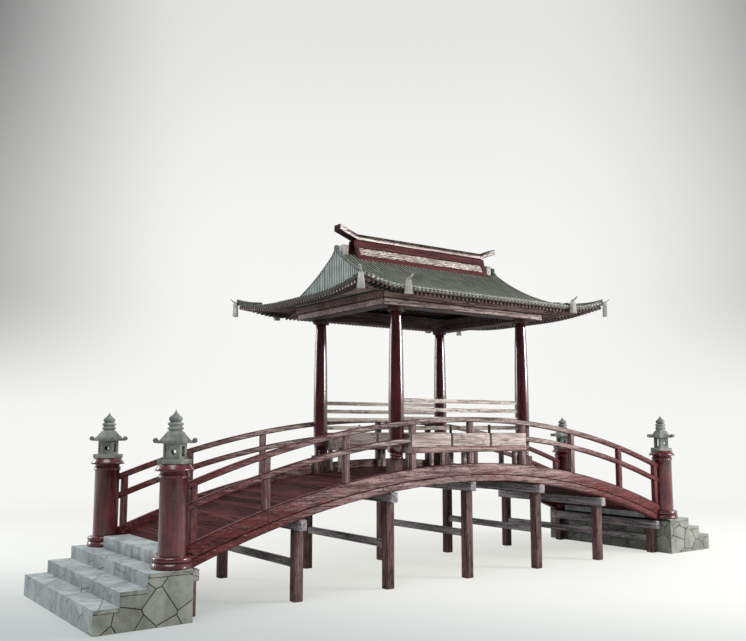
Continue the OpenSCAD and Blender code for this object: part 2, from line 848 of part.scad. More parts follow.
// Corner rafters from the upper ring beam out to the roof corners
module corner_rafters() {
    root = [ring_half_x, ring_half_y];
    tip = [eave_half_x, eave_half_y] - [corner_rafter_w, corner_rafter_w];
    run = norm(tip - root);
    steps = 8;
    turn = atan2(tip[1] - root[1], tip[0] - root[0]);
    side = [-sin(turn), cos(turn)];
    tops = [for (i = [0:steps]) let (t = i / steps)
        [run * t, min(skirt_sides(root + t * (tip - root), side, corner_rafter_w)) - roof_t - skirt_gap]];
    color(brown) mirror_x() mirror_y() difference() {
        translate([root[0], root[1], 0]) rotate([90, 0, turn]) translate([0, 0, -corner_rafter_w / 2])
            linear_extrude(corner_rafter_w)
                polygon(concat([for (q = tops) q - [0, rafter_d]], reversed(tops)));
        span_box([0, 0, 0], [ring_half_x + fascia_out, ring_half_y + fascia_out, far]);
    }
}

// A bar on the roof: its seat points and the same points raised by its height
module ridge_bar(seats) {
    linear_extrude(verge_w) polygon(concat(seats, reversed([for (q = seats) q + [0, verge_h]])));
}

// Verge ridges over the gables, from the ridge down to the long eaves
module verge_ridge() {
    steps = 16;
    translate([verge_x - verge_w / 2, 0, 0]) rotate([90, 0, 90])
        ridge_bar([for (i = [0:steps]) let (y = eave_half_y * i / steps)
            [y, roof_at(roof_r, y) + bar_seat]]);
}

module verge_ridges() {
    color(tile) mirror_x() {
        verge_ridge();
        mirror([0, 1, 0]) verge_ridge();
        translate([verge_x - verge_w / 2, 0, ridge_z + verge_h]) rotate([0, 90, 0])
            cylinder(r = knob_r, h = verge_w, $fn = 32);
    }
}

// Short ridges on the roof corners
module corner_ridge() {
    steps = 6;
    tip = [eave_half_x, eave_half_y];
    out = [1, 1] / sqrt(2);
    side = [-out[1], out[0]];
    translate([tip[0], tip[1], 0]) rotate([90, 0, 45]) translate([0, 0, -verge_w / 2])
        ridge_bar([for (i = [0:steps]) let (d = corner_ridge_l * (i / steps - 1))
            [d, max(skirt_sides(tip + d * out, side, verge_w)) + bar_seat]]);
}

module corner_ridges() {
    color(tile) mirror_x() mirror_y() corner_ridge();
}

// Flared blocks that close the ridge ends, each with an upturned tip on its top
module end_block() {
    steps = 6;
    tip_t = horn_h / 6;
    reach = block_t + horn_l;
    root = block_t / 3;
    rotate([90, 0, 90]) linear_extrude(block_t) polygon([[-block_w / 2, -block_h],
        [block_w / 2, -block_h], [block_top_w / 2, 0], [-block_top_w / 2, 0]]);
    translate([0, horn_w / 2, 0]) rotate([90, 0, 0]) linear_extrude(horn_w) polygon(concat(
        [[0, -eps]],
        [for (i = [0:steps]) let (t = i / steps) [root + (reach - root) * t, horn_h * t * t - eps]],
        [for (i = [0:steps]) let (t = 1 - i / steps) [reach * t, 2 * tip_t + (horn_h - tip_t) * t * t]]));
}

// A stop on the ridge between the ridge box and the verge, cut to the roof
module ridge_stop() {
    foot_z = roof_at(roof_r, stop_half) + seat;
    translate([stop_x - stop_l / 2, 0, 0]) rotate([90, 0, 90]) linear_extrude(stop_l)
        polygon([[-stop_half, foot_z], [0, ridge_z + seat], [stop_half, foot_z],
            [stop_half, ridge_z + stop_h], [-stop_half, ridge_z + stop_h]]);
}

module end_blocks() {
    corner_z = skirt_at(eave_half_x, eave_half_y) - block_drop;
    color(stone) mirror_x() {
        mirror_y() {
            translate([verge_x, eave_half_y + seat, eave_z + block_up]) rotate([0, 0, 90]) end_block();
            translate([eave_half_x + seat, eave_half_y + seat, corner_z]) rotate([0, 0, 45]) end_block();
        }
        ridge_stop();
    }
}

// Ridge box: two leaning frames with carved panels, under a board with kicked-up ends
box_foot_z = roof_at(roof_r, box_foot_y);
lean_l = norm([box_foot_y - box_top_y, box_top_z - box_foot_z]);
lean = atan2(box_foot_y - box_top_y, box_top_z - box_foot_z);

// A flat thing in the plane of the back frame: x along the ridge, y up the lean, z inwards
module on_lean() {
    translate([0, box_foot_y, box_foot_z]) rotate([90 + lean, 0, 0]) children();
}

module ridge_frames() {
    color(dark_red) mirror_y() difference() {
        on_lean() linear_extrude(frame_t) difference() {
            translate([-box_half, 0]) square([2 * box_half, lean_l + frame_t]);
            translate([-box_half + frame_end_w, frame_bar_h])
                square([2 * (box_half - frame_end_w), lean_l - 2 * frame_bar_h]);
        }
        span_box([-far, -far, box_top_z], [far, far, far]);
        roof_solid();
    }
}

// Everything under the back slope's top
module roof_solid() {
    difference() {
        span_box([-verge_x, 0, 0], [verge_x, eave_half_y, ridge_z]);
        roof_round(roof_r, far);
    }
}

module ridge_panels() {
    color(cream) mirror_y() on_lean() translate([0, 0, (frame_t - panel_t) / 2])
        linear_extrude(panel_t) translate([-box_half + frame_end_w, frame_bar_h])
            square([2 * (box_half - frame_end_w), lean_l - 2 * frame_bar_h]);
}

module ridge_board() {
    color(red) translate([0, board_half_y, box_top_z]) rotate([90, 0, 0])
        linear_extrude(2 * board_half_y) polygon([
            [-board_half, board_kick], [-board_level, 0], [board_level, 0], [board_half, board_kick],
            [board_half, board_kick + board_h], [board_level, board_h],
            [-board_level, board_h], [-board_half, board_kick + board_h]]);
}

left_steps();
left_platform();
left_threshold();
right_steps();
right_platform();
right_threshold();
post_left_front();
post_left_back();
post_right_front();
post_right_back();
lantern_left_front();
lantern_left_back();
lantern_right_front();
lantern_right_back();
legs();
bent_caps();
bent_ties();
front_girder_upper();
front_girder_lower();
back_girder_upper();
back_girder_lower();
deck();
top_rails();
mid_rails();
rail_posts();
columns();
column_brackets();
lower_ring_beam();
upper_ring_beam();
front_bench_seat();
front_bench_legs();
front_bench_back();
back_bench_seat();
back_bench_legs();
back_bench_back();
ridge_beam();
rafters();
corner_rafters();
front_slope();
back_slope();
left_skirt();
right_skirt();
gables();
verge_ridges();
corner_ridges();
end_blocks();
ridge_frames();
ridge_panels();
ridge_board();
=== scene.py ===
# %% [markdown]
# A moon bridge: an arched timber footbridge with a roofed pavilion over the middle, stone stairs at
# both ends and a stone lantern on each end post. The imported model gives every size and place, so the
# script starts by loading it.

# %% Load the frame
import math
import random

import bmesh
import bpy
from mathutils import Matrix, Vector


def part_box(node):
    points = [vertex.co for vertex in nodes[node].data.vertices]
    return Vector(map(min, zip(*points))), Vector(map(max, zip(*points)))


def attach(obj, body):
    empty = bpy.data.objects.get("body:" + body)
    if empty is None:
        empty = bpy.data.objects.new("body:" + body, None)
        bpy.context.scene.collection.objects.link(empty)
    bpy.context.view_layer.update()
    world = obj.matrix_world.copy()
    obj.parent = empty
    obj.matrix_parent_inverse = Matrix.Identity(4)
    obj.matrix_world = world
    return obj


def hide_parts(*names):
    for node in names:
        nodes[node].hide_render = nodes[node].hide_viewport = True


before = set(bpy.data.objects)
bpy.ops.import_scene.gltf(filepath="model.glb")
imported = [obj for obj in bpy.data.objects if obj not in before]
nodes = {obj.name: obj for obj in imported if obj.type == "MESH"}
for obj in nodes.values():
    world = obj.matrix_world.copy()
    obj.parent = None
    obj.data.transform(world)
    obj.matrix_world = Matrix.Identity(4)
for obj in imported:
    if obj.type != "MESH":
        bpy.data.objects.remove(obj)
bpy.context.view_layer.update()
scene = bpy.context.scene

# %% [markdown]
# The camera stands low, off the left front corner, and looks slightly up. Its place and lens were
# worked out from points of the bridge that are easy to recognise, such as the feet of the legs. An
# object shows only once it is linked to the scene, so one helper makes and links whatever comes.

# %% Camera
SENSOR, FOCAL_PIXELS, WIDTH_PIXELS = 36, 849.04, 746


def stand(name, data):
    item = bpy.data.objects.new(name, data)
    scene.collection.objects.link(item)
    return item


camera = stand("camera", bpy.data.cameras.new("camera"))
scene.camera = camera
camera.data.sensor_width = SENSOR
camera.data.lens = SENSOR * FOCAL_PIXELS / WIDTH_PIXELS
camera.data.clip_end = 300
camera.location = (-8.905, -10.928, 2.252)
camera.rotation_euler = (math.radians(97.162), 0, math.radians(-35.976))
print("lens:", round(camera.data.lens, 2))

# %% [markdown]
# Node trees are easier to read as sums than as links. A Wire is one socket that can be added,
# multiplied and so on, and a Maker adds nodes to a tree: settings first, then values and links. The
# nodes that come up again and again have short names of their own.

# %% A small kit for node trees
class Wire:
    def __init__(self, maker, socket):
        self.maker, self.socket = maker, socket

    def out(self, name):
        return Wire(self.maker, self.socket.node.outputs[name])

    def __add__(self, other):
        return self.maker.math("ADD", self, other)

    def __sub__(self, other):
        return self.maker.math("SUBTRACT", self, other)

    def __rsub__(self, other):
        return self.maker.math("SUBTRACT", other, self)

    def __mul__(self, other):
        return self.maker.math("MULTIPLY", self, other)

    def __truediv__(self, other):
        return self.maker.math("DIVIDE", self, other)

    def __rtruediv__(self, other):
        return self.maker.math("DIVIDE", other, self)

    def __abs__(self):
        return self.maker.math("ABSOLUTE", self)

    __radd__, __rmul__ = __add__, __mul__


class Maker:
    def __init__(self, tree):
        self.tree = tree

    def add(self, kind, settings=None, sockets=None, out=0):
        node = self.tree.nodes.new(kind)
        for key, value in (settings or {}).items():
            setattr(node, key, value)
        for key, value in (sockets or {}).items():
            if isinstance(value, Wire):
                self.tree.links.new(value.socket, node.inputs[key])
            else:
                node.inputs[key].default_value = value
        return Wire(self, node.outputs[out]) if len(node.outputs) else None

    def math(self, operation, *parts):
        return self.add("ShaderNodeMath", {"operation": operation}, dict(enumerate(parts)))

    def vector(self, operation, *parts, out=0):
        return self.add("ShaderNodeVectorMath", {"operation": operation}, dict(enumerate(parts)), out)

    def dot(self, a, b):
        return self.vector("DOT_PRODUCT", a, b, out="Value")

    def point(self, **axes):
        return self.add("ShaderNodeCombineXYZ", {}, axes)

    def axis(self, vector, letter):
        return self.add("ShaderNodeSeparateXYZ", {}, {0: vector}, letter)

    def facing(self, letter):
        return self.axis(self.add("ShaderNodeNewGeometry", out="Normal"), letter)

    def own_shade(self):
        return self.add("ShaderNodeAttribute", {"attribute_name": "shade"}, out="Fac")

    def mix(self, factor, a, b):
        return self.add("ShaderNodeMix", {"data_type": "RGBA"}, {0: factor, 6: a, 7: b}, 2)

    def spread(self, value, low, high, a=0.0, b=1.0):
        return self.add("ShaderNodeMapRange", {"interpolation_type": "SMOOTHSTEP"},
                        {0: value, 1: low, 2: high, 3: a, 4: b})

    def stretch(self, place, scale, shift=(0, 0, 0)):
        return self.add("ShaderNodeMapping", {}, {"Vector": place, "Scale": scale, "Location": shift})

    def noise(self, place, scale, detail, rough, shift=(0, 0, 0)):
        if isinstance(scale, tuple):
            place, scale = self.stretch(place, scale, shift), 1.0
        return self.add("ShaderNodeTexNoise", {}, {"Vector": place, "Scale": scale, "Detail": detail,
                                                  "Roughness": rough})


# %% [markdown]
# A finish is a material made of nodes. All start the same way, empty and with the place on the object
# at hand, and end the same way: a colour, a roughness and a height that becomes a bump. What is the
# same all over is set straight on the shader.

# %% The start and the end of every finish
def rgb(r, g, b):
    return (r, g, b, 1.0)


def darker(colour, share):
    return tuple(c * share for c in colour[:3]) + (1.0,)


def new_finish(name):
    finish = bpy.data.materials.new(name)
    finish.use_nodes = True
    finish.node_tree.nodes.clear()
    m = Maker(finish.node_tree)
    return finish, m, m.add("ShaderNodeTexCoord", out="Object")


def surface(m, colour, rough, height, depth, constants=None):
    bump = m.add("ShaderNodeBump", {}, {"Strength": 0.8, "Distance": depth, "Height": height})
    sockets = {"Base Color": colour, "Roughness": rough, "Normal": bump}
    sockets.update(constants or {})
    shader = m.add("ShaderNodeBsdfPrincipled", {}, sockets)
    m.add("ShaderNodeOutputMaterial", {}, {"Surface": shader})


# %% [markdown]
# The floor is one plain pale disc that keeps the shadow and fades out far from the bridge, so that no
# horizon shows. More light would whiten it but bleach the timber too. Instead a part of its tone is a
# glow for the camera and, weaker, for reflections, and that also keeps the shadow soft. The glow is
# dark at the left front and pale to the right and behind, a painted pool of light.

# %% Floor
FLOOR_R, FLOOR_SIDES, FLOOR_Z = 20, 64, -0.001
floor_finish, m, place = new_finish("floor")
far = m.spread(m.vector("LENGTH", place, out="Value"), 8.0, 19.0)
# Painted light: the glow's tone runs from dark at the left front to pale at the right and behind.
painted_light_slant = m.dot(place, (0.823, 0.568, 0.0))
tone = m.mix(m.spread(painted_light_slant, -7.0, -0.8), rgb(0.30, 0.35, 0.36), rgb(0.98, 0.98, 0.93))
glow = m.add("ShaderNodeEmission", {}, {"Color": tone})
pale = m.add("ShaderNodeBsdfDiffuse", {}, {"Color": rgb(0.62, 0.63, 0.62)})
ray = m.add("ShaderNodeLightPath", out="Is Camera Ray")
seen = m.math("MAXIMUM", ray, ray.out("Is Glossy Ray") * 0.3)
pale = m.add("ShaderNodeMixShader", {}, {0: seen * 0.62, 1: pale, 2: glow})
clear = m.add("ShaderNodeBsdfTransparent")
m.add("ShaderNodeOutputMaterial", {},
      {"Surface": m.add("ShaderNodeMixShader", {}, {0: far, 1: pale, 2: clear})})

floor_mesh = bpy.data.meshes.new("floor")
turns = [2 * math.pi * i / FLOOR_SIDES for i in range(FLOOR_SIDES)]
rim = [(FLOOR_R * math.cos(a), FLOOR_R * math.sin(a), FLOOR_Z) for a in turns]
floor_mesh.from_pydata(rim, [], [list(range(FLOOR_SIDES))])
floor_mesh.materials.append(floor_finish)
stand("floor", floor_mesh)
print("floor:", FLOOR_R, "m round")

# %% [markdown]
# The sky has three parts, and the kind of ray says which one is used. The camera sees a soft blend that
# darkens to both sides and a little more at the upper left. Shiny faces mirror a sky that is pale ahead
# of the camera and dark behind it. The light itself comes from an even pale sky.

# %% Sky
AHEAD, LEFTWARD = (0.598, 0.8015, 0.0), (-0.809, 0.588, 0.0)
world = bpy.data.worlds.new("studio")
world.use_nodes = True
world.node_tree.nodes.clear()
scene.world = world
m = Maker(world.node_tree)
heading = m.add("ShaderNodeTexCoord", out="Generated")
up = m.axis(heading, "Z")
ahead = m.dot(heading, AHEAD)
level = ahead / m.math("SQRT", 1.001 - up * up)
side = m.spread(abs(level), 0.84, 0.99, 0.34, 1.0)
height = m.spread(up, 0.16, 0.55, 1.0, 0.82)
fall = m.spread(up, 0.0, 0.16) * (1 + 0.5 * m.spread(up, 0.2, 0.5))
corner = 1 - m.spread(m.dot(heading, LEFTWARD), 0.20, 0.42) * fall * 0.16
behind = m.mix((1 - (1 - side) * fall) * height * corner, rgb(0.0, 0.0, 0.0), rgb(0.925, 0.93, 0.915))
mirrored = m.mix(m.spread(ahead, -0.35, 0.45), rgb(0.055, 0.050, 0.052), rgb(0.95, 0.96, 0.97))
above = m.mix(m.spread(up, -0.1, 0.85), rgb(0.40, 0.415, 0.43), rgb(0.98, 1.0, 1.02))
ray = m.add("ShaderNodeLightPath", out="Is Camera Ray")
shiny = m.math("MAXIMUM", ray.out("Is Glossy Ray"), ray.out("Is Transmission Ray"))
sky = m.mix(ray, m.mix(shiny, above, mirrored), behind)
m.add("ShaderNodeOutputWorld", {},
      {"Surface": m.add("ShaderNodeBackground", {}, {"Color": sky, "Strength": 1.0})})
scene.view_settings.view_transform = "Standard"
print("sky nodes:", len(world.node_tree.nodes))

# %% [markdown]
# Three soft lamps shape the bridge: a large one from the front right, a wide one high on the left and a
# smaller one from behind. Area lamps are chosen because their shadows have soft edges.

# %% Lamps
def lamp(name, spot, target, size, power, colour):
    data = bpy.data.lights.new(name, "AREA")
    data.size, data.energy, data.color = size, power, colour
    item = stand(name, data)
    item.location = spot
    item.rotation_euler = (Vector(target) - Vector(spot)).to_track_quat("-Z", "Y").to_euler()


lamp("key", (10.5, -10, 6.0), (1.2, 0, 1.6), 4.5, 2150, (1.0, 0.98, 0.95))
lamp("top", (-7, -3, 12), (-1, 0, 2), 6, 640, (0.95, 0.98, 1.0))
lamp("rim", (-9, 9, 5.0), (0, 0, 2.6), 3, 300, (0.95, 0.98, 1.0))

# %% [markdown]
# The timber is old: long grain, drying cracks, dark pits, and red paint that survives in patches, more
# of it on top faces and towards the ends of the bridge. One recipe serves every stick, and the grain
# axis follows the length of the piece. The noise is squeezed across the grain, so it draws streaks;
# thin cracks are the places where such a streak passes a half. Rafter tails get a painted shade: the
# direction of the face darkens their sides and undersides, while their sawn ends keep the wood's colour.

# %% The timber recipe
def timber(name, dark, light, paint, painted, axis, pits=0.5, scale=1.0, top=0.0, ends=0.0, unshaded_axis=None,
           shine=0.2):
    finish, m, place = new_finish(name)

    def streaks(slow, fast, detail, rough, shift=(0, 0, 0)):
        squeeze = tuple((slow if i == axis else fast) * scale for i in range(3))
        return m.noise(place, squeeze, detail, rough, shift)

    grain = streaks(1.8, 38.0, 4.0, 0.62)
    broad = streaks(0.9, 2.6, 3.0, 0.6, (1, 5, 3))
    dash = streaks(14.0, 62.0, 3.0, 0.6, (4, 2, 9))
    split = m.spread(abs(streaks(0.9, 9.0, 3.0, 0.5, (3, 1, 5)) - 0.5), 0.0, 0.016)
    worn = streaks(3.4, 17.0, 6.0, 0.7, (9, 4, 2))
    level = worn * 0.6 + broad * 0.4 + painted * 0.5
    if ends:
        along = m.axis(place, "X")
        level = level + m.spread(m.math("MAXIMUM", along, along * -0.8), 1.0, 4.2) * ends
    if top:
        level = level + m.spread(m.facing("Z"), 0.5, 0.8) * top
    kept = m.spread(level, 0.56, 0.92)
    bare = m.mix(m.spread(grain * 0.65 + broad * 0.35, 0.38, 0.62), dark, light)
    coat = m.mix(m.spread(grain * 0.6 + worn * 0.4, 0.34, 0.66), darker(paint, 0.45), paint)
    body = m.mix(kept, bare, coat)
    body = m.mix(m.spread(dash, 0.42, 0.30) * pits * 0.45, body, light)
    hole = 1 - m.spread(dash, 0.56, 0.66) * pits
    colour = m.mix(hole * (split * 0.75 + 0.25), darker(dark, 0.12), body)
    # Painted shade: faces that do not point along this axis, a tail's sides and underside, are darkened.
    if unshaded_axis:
        colour = m.mix(m.spread(abs(m.facing(unshaded_axis)), 0.6, 0.9), darker(dark, 0.22), colour)
    dull = m.spread(grain, 0.2, 0.8, 0.76, 0.52) - kept * 0.14
    surface(m, colour, dull, grain * 0.35 + hole * 0.5 + split * 0.4, 0.006, {"Specular IOR Level": shine})
    return finish


# %% [markdown]
# Each kind of stick takes the recipe with its own two wood tones, the paint and how much of it is left.
# The number after that is the grain's axis: 0 along the bridge, 1 across it, 2 upright.

# %% Timber finishes
oxblood = rgb(0.060, 0.009, 0.011)
red = rgb(0.135, 0.024, 0.025)
girder_timber = timber("girder timber", rgb(0.066, 0.033, 0.030), rgb(0.36, 0.25, 0.235), red, 0.26, 0,
                       pits=1.0, top=0.6, ends=0.40)
rail_timber = timber("rail timber", rgb(0.075, 0.044, 0.041), rgb(0.42, 0.335, 0.315), red, 0.15, 0,
                     pits=0.7, scale=1.3, top=0.5, ends=0.38)
rail_post_timber = timber("rail post timber", rgb(0.085, 0.052, 0.048), rgb(0.31, 0.225, 0.21), red, 0.24,
                          2, pits=0.7, scale=1.3, ends=0.24)
leg_timber = timber("leg timber", rgb(0.042, 0.021, 0.019), rgb(0.165, 0.096, 0.089), oxblood, 0.18, 2,
                    pits=0.9)
cap_timber = timber("cap timber", rgb(0.10, 0.086, 0.09), rgb(0.36, 0.325, 0.335), oxblood, -0.1, 1,
                    pits=0.8)
fascia_timber = timber("fascia timber", rgb(0.110, 0.064, 0.060), rgb(0.42, 0.285, 0.27), oxblood, 0.06,
                       0, pits=0.8)
ring_timber = timber("ring timber", rgb(0.27, 0.185, 0.178), rgb(0.80, 0.63, 0.61), oxblood, -0.05, 0,
                     pits=0.9)
# Painted shade: the dark finish of the ring beams' inner sides and undersides.
inner_shade_timber = timber("inner ring timber", rgb(0.034, 0.022, 0.022), rgb(0.115, 0.082, 0.081), oxblood,
                      0.05, 0, pits=0.4, shine=0.05)
rafter_timber = timber("rafter timber", rgb(0.055, 0.032, 0.029), rgb(0.17, 0.11, 0.10), oxblood, 0.02, 1,
                       pits=0.4)
front_tail = timber("front rafter tail", rgb(0.045, 0.025, 0.022), rgb(0.125, 0.075, 0.068), oxblood, 0.0,
                    1, pits=0.4, unshaded_axis="Y")
side_tail = timber("side rafter tail", rgb(0.19, 0.14, 0.13), rgb(0.50, 0.42, 0.40), oxblood, 0.0, 0,
                   pits=0.4, unshaded_axis="X")
bench_timber = timber("bench timber", rgb(0.20, 0.150, 0.128), rgb(0.58, 0.49, 0.45), oxblood, -0.1, 0,
                      pits=0.5, scale=1.6)
base_timber = timber("bench base timber", rgb(0.13, 0.072, 0.066), rgb(0.40, 0.27, 0.25), red, 0.14, 0,
                     pits=0.8)
slat_timber = timber("slat timber", rgb(0.30, 0.25, 0.225), rgb(0.66, 0.59, 0.55), oxblood, -0.2, 0,
                     pits=0.6)
ridge_red = timber("ridge red", rgb(0.050, 0.007, 0.008), rgb(0.115, 0.018, 0.018), oxblood, 0.40, 0,
                   pits=0.4)
board_pale = timber("ridge board face", rgb(0.36, 0.25, 0.235), rgb(0.84, 0.74, 0.70), oxblood, -0.15, 0,
                    pits=0.9)
# Dark paint and painted shade: these finishes draw dark lines along edges and creases.
edge_red_and_shade = timber("dark red edge", rgb(0.022, 0.006, 0.006), rgb(0.055, 0.017, 0.017), oxblood, 0.40, 0,
                  pits=0.3, shine=0.02)
edge_dark_and_shade = timber("dark edge", rgb(0.018, 0.010, 0.010), rgb(0.050, 0.030, 0.028), oxblood, 0.10, 0,
                   pits=0.3, shine=0.02)
print("timber finishes:", len(bpy.data.materials) - 1)

# %% [markdown]
# The end posts and the columns are lacquered dark red. Lacquer is smooth and has a clear coat, but it
# is old: rain has drawn streaks down it and small scuffs show the wood underneath. An even gloss would
# look like plastic, so the streaks and scuffs change the roughness along with the colour.

# %% Lacquer
def lacquer(name, deep, bright, scuffed, coat, gloss, depth):
    finish, m, place = new_finish(name)
    streak = m.noise(place, (26, 26, 2.6), 5.0, 0.66)
    cloud = m.noise(place, 3.2, 4.0, 0.6)
    fleck = m.noise(place, (46, 46, 20), 4.0, 0.7, (2, 7, 1))
    scuff = m.spread(fleck * 0.7 + cloud * 0.3, 0.66 - scuffed, 0.76 - scuffed)
    chip = m.spread(m.noise(place, (30, 30, 7), 3.0, 0.6, (6, 3, 4)), 0.66, 0.74)
    body = m.mix(m.spread(streak * 0.6 + cloud * 0.4, 0.36, 0.66), deep, bright)
    aged = m.mix(scuff * 0.55, body, rgb(0.20, 0.095, 0.088))
    colour = m.mix(chip * 0.8, aged, darker(deep, 0.3))
    dull = m.spread(streak, 0.25, 0.8, 0.22, 0.38) + scuff * 0.2
    surface(m, colour, dull, streak * 0.2 + fleck * 0.6 - chip * 0.3, depth,
            {"Specular IOR Level": 0.3, "Coat Weight": coat, "Coat Roughness": 0.12, "Coat IOR": gloss})
    return finish


column_lacquer = lacquer("column lacquer", rgb(0.030, 0.003, 0.005), rgb(0.090, 0.009, 0.012), 0.0, 0.7,
                         2.0, 0.005)
post_lacquer = lacquer("post lacquer", rgb(0.040, 0.006, 0.008), rgb(0.130, 0.019, 0.021), 0.07, 0.6, 1.7,
                       0.010)
print("lacquers:", column_lacquer.name, post_lacquer.name)

# %% [markdown]
# Stone is built up from speckle, broad stains and dark runs left by the rain. A picture of stone would
# repeat and blur up close, and noises of several sizes don't. Each paving stone also carries its own
# shade, a number stored on the mesh, so that no two neighbours match.

# %% Stone finishes
def stone(name, dark, light, separate=False, stain=0.6):
    finish, m, place = new_finish(name)
    speck = m.noise(place, 62.0, 3.0, 0.65)
    cloud = m.noise(place, 4.5, 5.0, 0.62)
    run = m.noise(place, (9, 9, 1.2), 4.0, 0.6, (5, 2, 0))
    lump = m.noise(place, 22.0, 4.0, 0.6)
    tone = m.spread(cloud, 0.32, 0.70)
    if separate:
        tone = tone * 0.55 + m.own_shade() * 0.45
    body = m.mix(tone, dark, light)
    body = m.mix(m.spread(speck, 0.54, 0.68) * 0.5, body, darker(dark, 0.4))
    body = m.mix(m.spread(m.noise(place, 1.7, 4.0, 0.65), 0.56, 0.74) * stain, body,
                 rgb(dark[0] * 0.62, dark[1] * 0.68, dark[2] * 0.55))
    colour = m.mix(m.spread(run, 0.52, 0.72) * 0.45, body, darker(dark, 0.55))
    surface(m, colour, m.spread(lump, 0.3, 0.7, 0.72, 0.92), lump * 0.7 + speck * 0.3, 0.007)
    return finish


paving = stone("paving stone", rgb(0.115, 0.12, 0.10), rgb(0.27, 0.28, 0.245), separate=True)
# The cut stones are paler and cooler than the rubble: partly their own stone, partly painted light on the
# treads and risers.
tread_stone = stone("tread stone", rgb(0.22, 0.243, 0.243), rgb(0.43, 0.468, 0.47), separate=True,
                    stain=0.35)
slab_stone = stone("slab stone", rgb(0.22, 0.243, 0.24), rgb(0.43, 0.468, 0.468), stain=0.35)
carved_stone = stone("carved stone", rgb(0.092, 0.10, 0.088), rgb(0.265, 0.282, 0.252))
block_stone = stone("end block stone", rgb(0.27, 0.265, 0.24), rgb(0.50, 0.49, 0.455))
joint_stone = stone("joint mortar", rgb(0.018, 0.018, 0.017), rgb(0.045, 0.045, 0.042))
print("stone finishes:", [f.name for f in bpy.data.materials if "stone" in f.name or "mortar" in f.name])

# %% [markdown]
# Roof tiles are fired clay, dark grey-green, each a little different, with moss in patches. Their
# flanks are darkened by the direction of the face, a painted shade between the rounded tiles.

# %% Tile finishes
def tile(name, dark, light, moss, shaded_flank_axis=None):
    finish, m, place = new_finish(name)
    cloud = m.noise(place, 6.0, 4.0, 0.6)
    grit = m.noise(place, 120.0, 2.0, 0.5)
    body = m.mix(m.spread(m.own_shade() * 0.25 + cloud * 0.8, 0.25, 0.85), dark, light)
    body = m.mix(m.spread(m.noise(place, 2.1, 5.0, 0.7), 0.54, 0.72) * moss, body, rgb(0.07, 0.078, 0.05))
    colour = m.mix(m.spread(grit, 0.55, 0.8) * 0.4, body, darker(dark, 0.4))
    # Painted shade: faces whose normal lies along this axis, the flanks, are darkened.
    if shaded_flank_axis:
        colour = m.mix(m.spread(abs(m.facing(shaded_flank_axis)), 0.25, 0.8) * 0.85, colour, darker(dark, 0.3))
    surface(m, colour, m.spread(cloud, 0.3, 0.7, 0.6, 0.82), grit * 0.3 + cloud * 0.7, 0.003,
            {"Specular IOR Level": 0.25})
    return finish


slope_tile = tile("slope tile", rgb(0.092, 0.099, 0.078), rgb(0.210, 0.220, 0.176), 0.35, "X")
skirt_tile = tile("end roof tile", rgb(0.075, 0.080, 0.063), rgb(0.165, 0.174, 0.142), 0.35, "Y")
gable_tile = tile("gable tile", rgb(0.29, 0.33, 0.305), rgb(0.60, 0.675, 0.64), 0.2, "Y")
verge_tile = tile("verge tile", rgb(0.070, 0.082, 0.074), rgb(0.19, 0.21, 0.195), 0.4)
# Painted shade: the gable wall behind the ribs is nearly black, standing in for the shade between them.
gable_shade = tile("gable wall", rgb(0.018, 0.021, 0.019), rgb(0.05, 0.056, 0.052), 0.2)
end_tile = tile("tile end", rgb(0.24, 0.245, 0.22), rgb(0.52, 0.53, 0.49), 0.3)
print("slope tiles:", slope_tile.name, "ends:", end_tile.name)

# %% [markdown]
# The sheets under the tiles are seen as pans between them from above and as boards from below. The
# pans are nearly black, a painted shade between the rows of tiles. Two materials would need the faces
# sorted, so one finish reads the direction of the face instead.

# %% Roof sheet
BOARD_HALF, SEAM = 0.06, 0.004
sheet_finish, m, place = new_finish("roof sheet")
seam = m.spread(m.math("PINGPONG", m.axis(place, "X"), BOARD_HALF), 0.0, SEAM)
grain = m.noise(place, (30, 2, 2), 4.0, 0.6)
boards = m.mix(m.spread(grain, 0.3, 0.7), rgb(0.022, 0.013, 0.012), rgb(0.070, 0.042, 0.038))
boards = m.mix(seam, rgb(0.004, 0.003, 0.003), boards)
# Painted shade: the pans between the tiles are nearly black.
pan_shade = m.mix(m.spread(m.noise(place, 9.0, 4.0, 0.6), 0.3, 0.7), rgb(0.020, 0.022, 0.018),
             rgb(0.055, 0.060, 0.050))
surface(m, m.mix(m.spread(m.facing("Z"), -0.1, 0.1), boards, pan_shade), m.spread(grain, 0.3, 0.7, 0.65, 0.85),
        grain * 0.5 + seam * 0.5, 0.004)
print("boards under the sheet:", BOARD_HALF * 2, "m wide")

# %% [markdown]
# The two leaning boards on the ridge are painted cream and carved. The carving is shallow, so a bump
# that follows bands of waves draws it, with the paint worn to brown in the hollows.

# %% Ridge panel
panel_finish, m, place = new_finish("ridge panel")
waves = m.add("ShaderNodeTexWave", {"wave_type": "RINGS", "rings_direction": "Y"},
              {"Vector": m.stretch(place, (2.6, 1, 5)), "Scale": 2.4, "Distortion": 7.0, "Detail": 3.0,
               "Detail Scale": 1.4}, "Fac")
age = m.noise(place, 7.0, 5.0, 0.65)
cut = m.spread(waves + (age - 0.5) * 0.5, 0.42, 0.6)
cream = m.mix(m.spread(age, 0.35, 0.7), rgb(0.42, 0.34, 0.29), rgb(0.86, 0.80, 0.73))
surface(m, m.mix(cut, rgb(0.085, 0.046, 0.04), cream), m.spread(age, 0.3, 0.7, 0.6, 0.85), cut, 0.008)
print("panel:", panel_finish.name)

# %% [markdown]
# Thin iron plates divide the bench boxes. They are nearly black, with rust in spots. One noise sets the
# colour, roughness and height of the rust together, because rust is browner, duller and higher than
# bare iron.

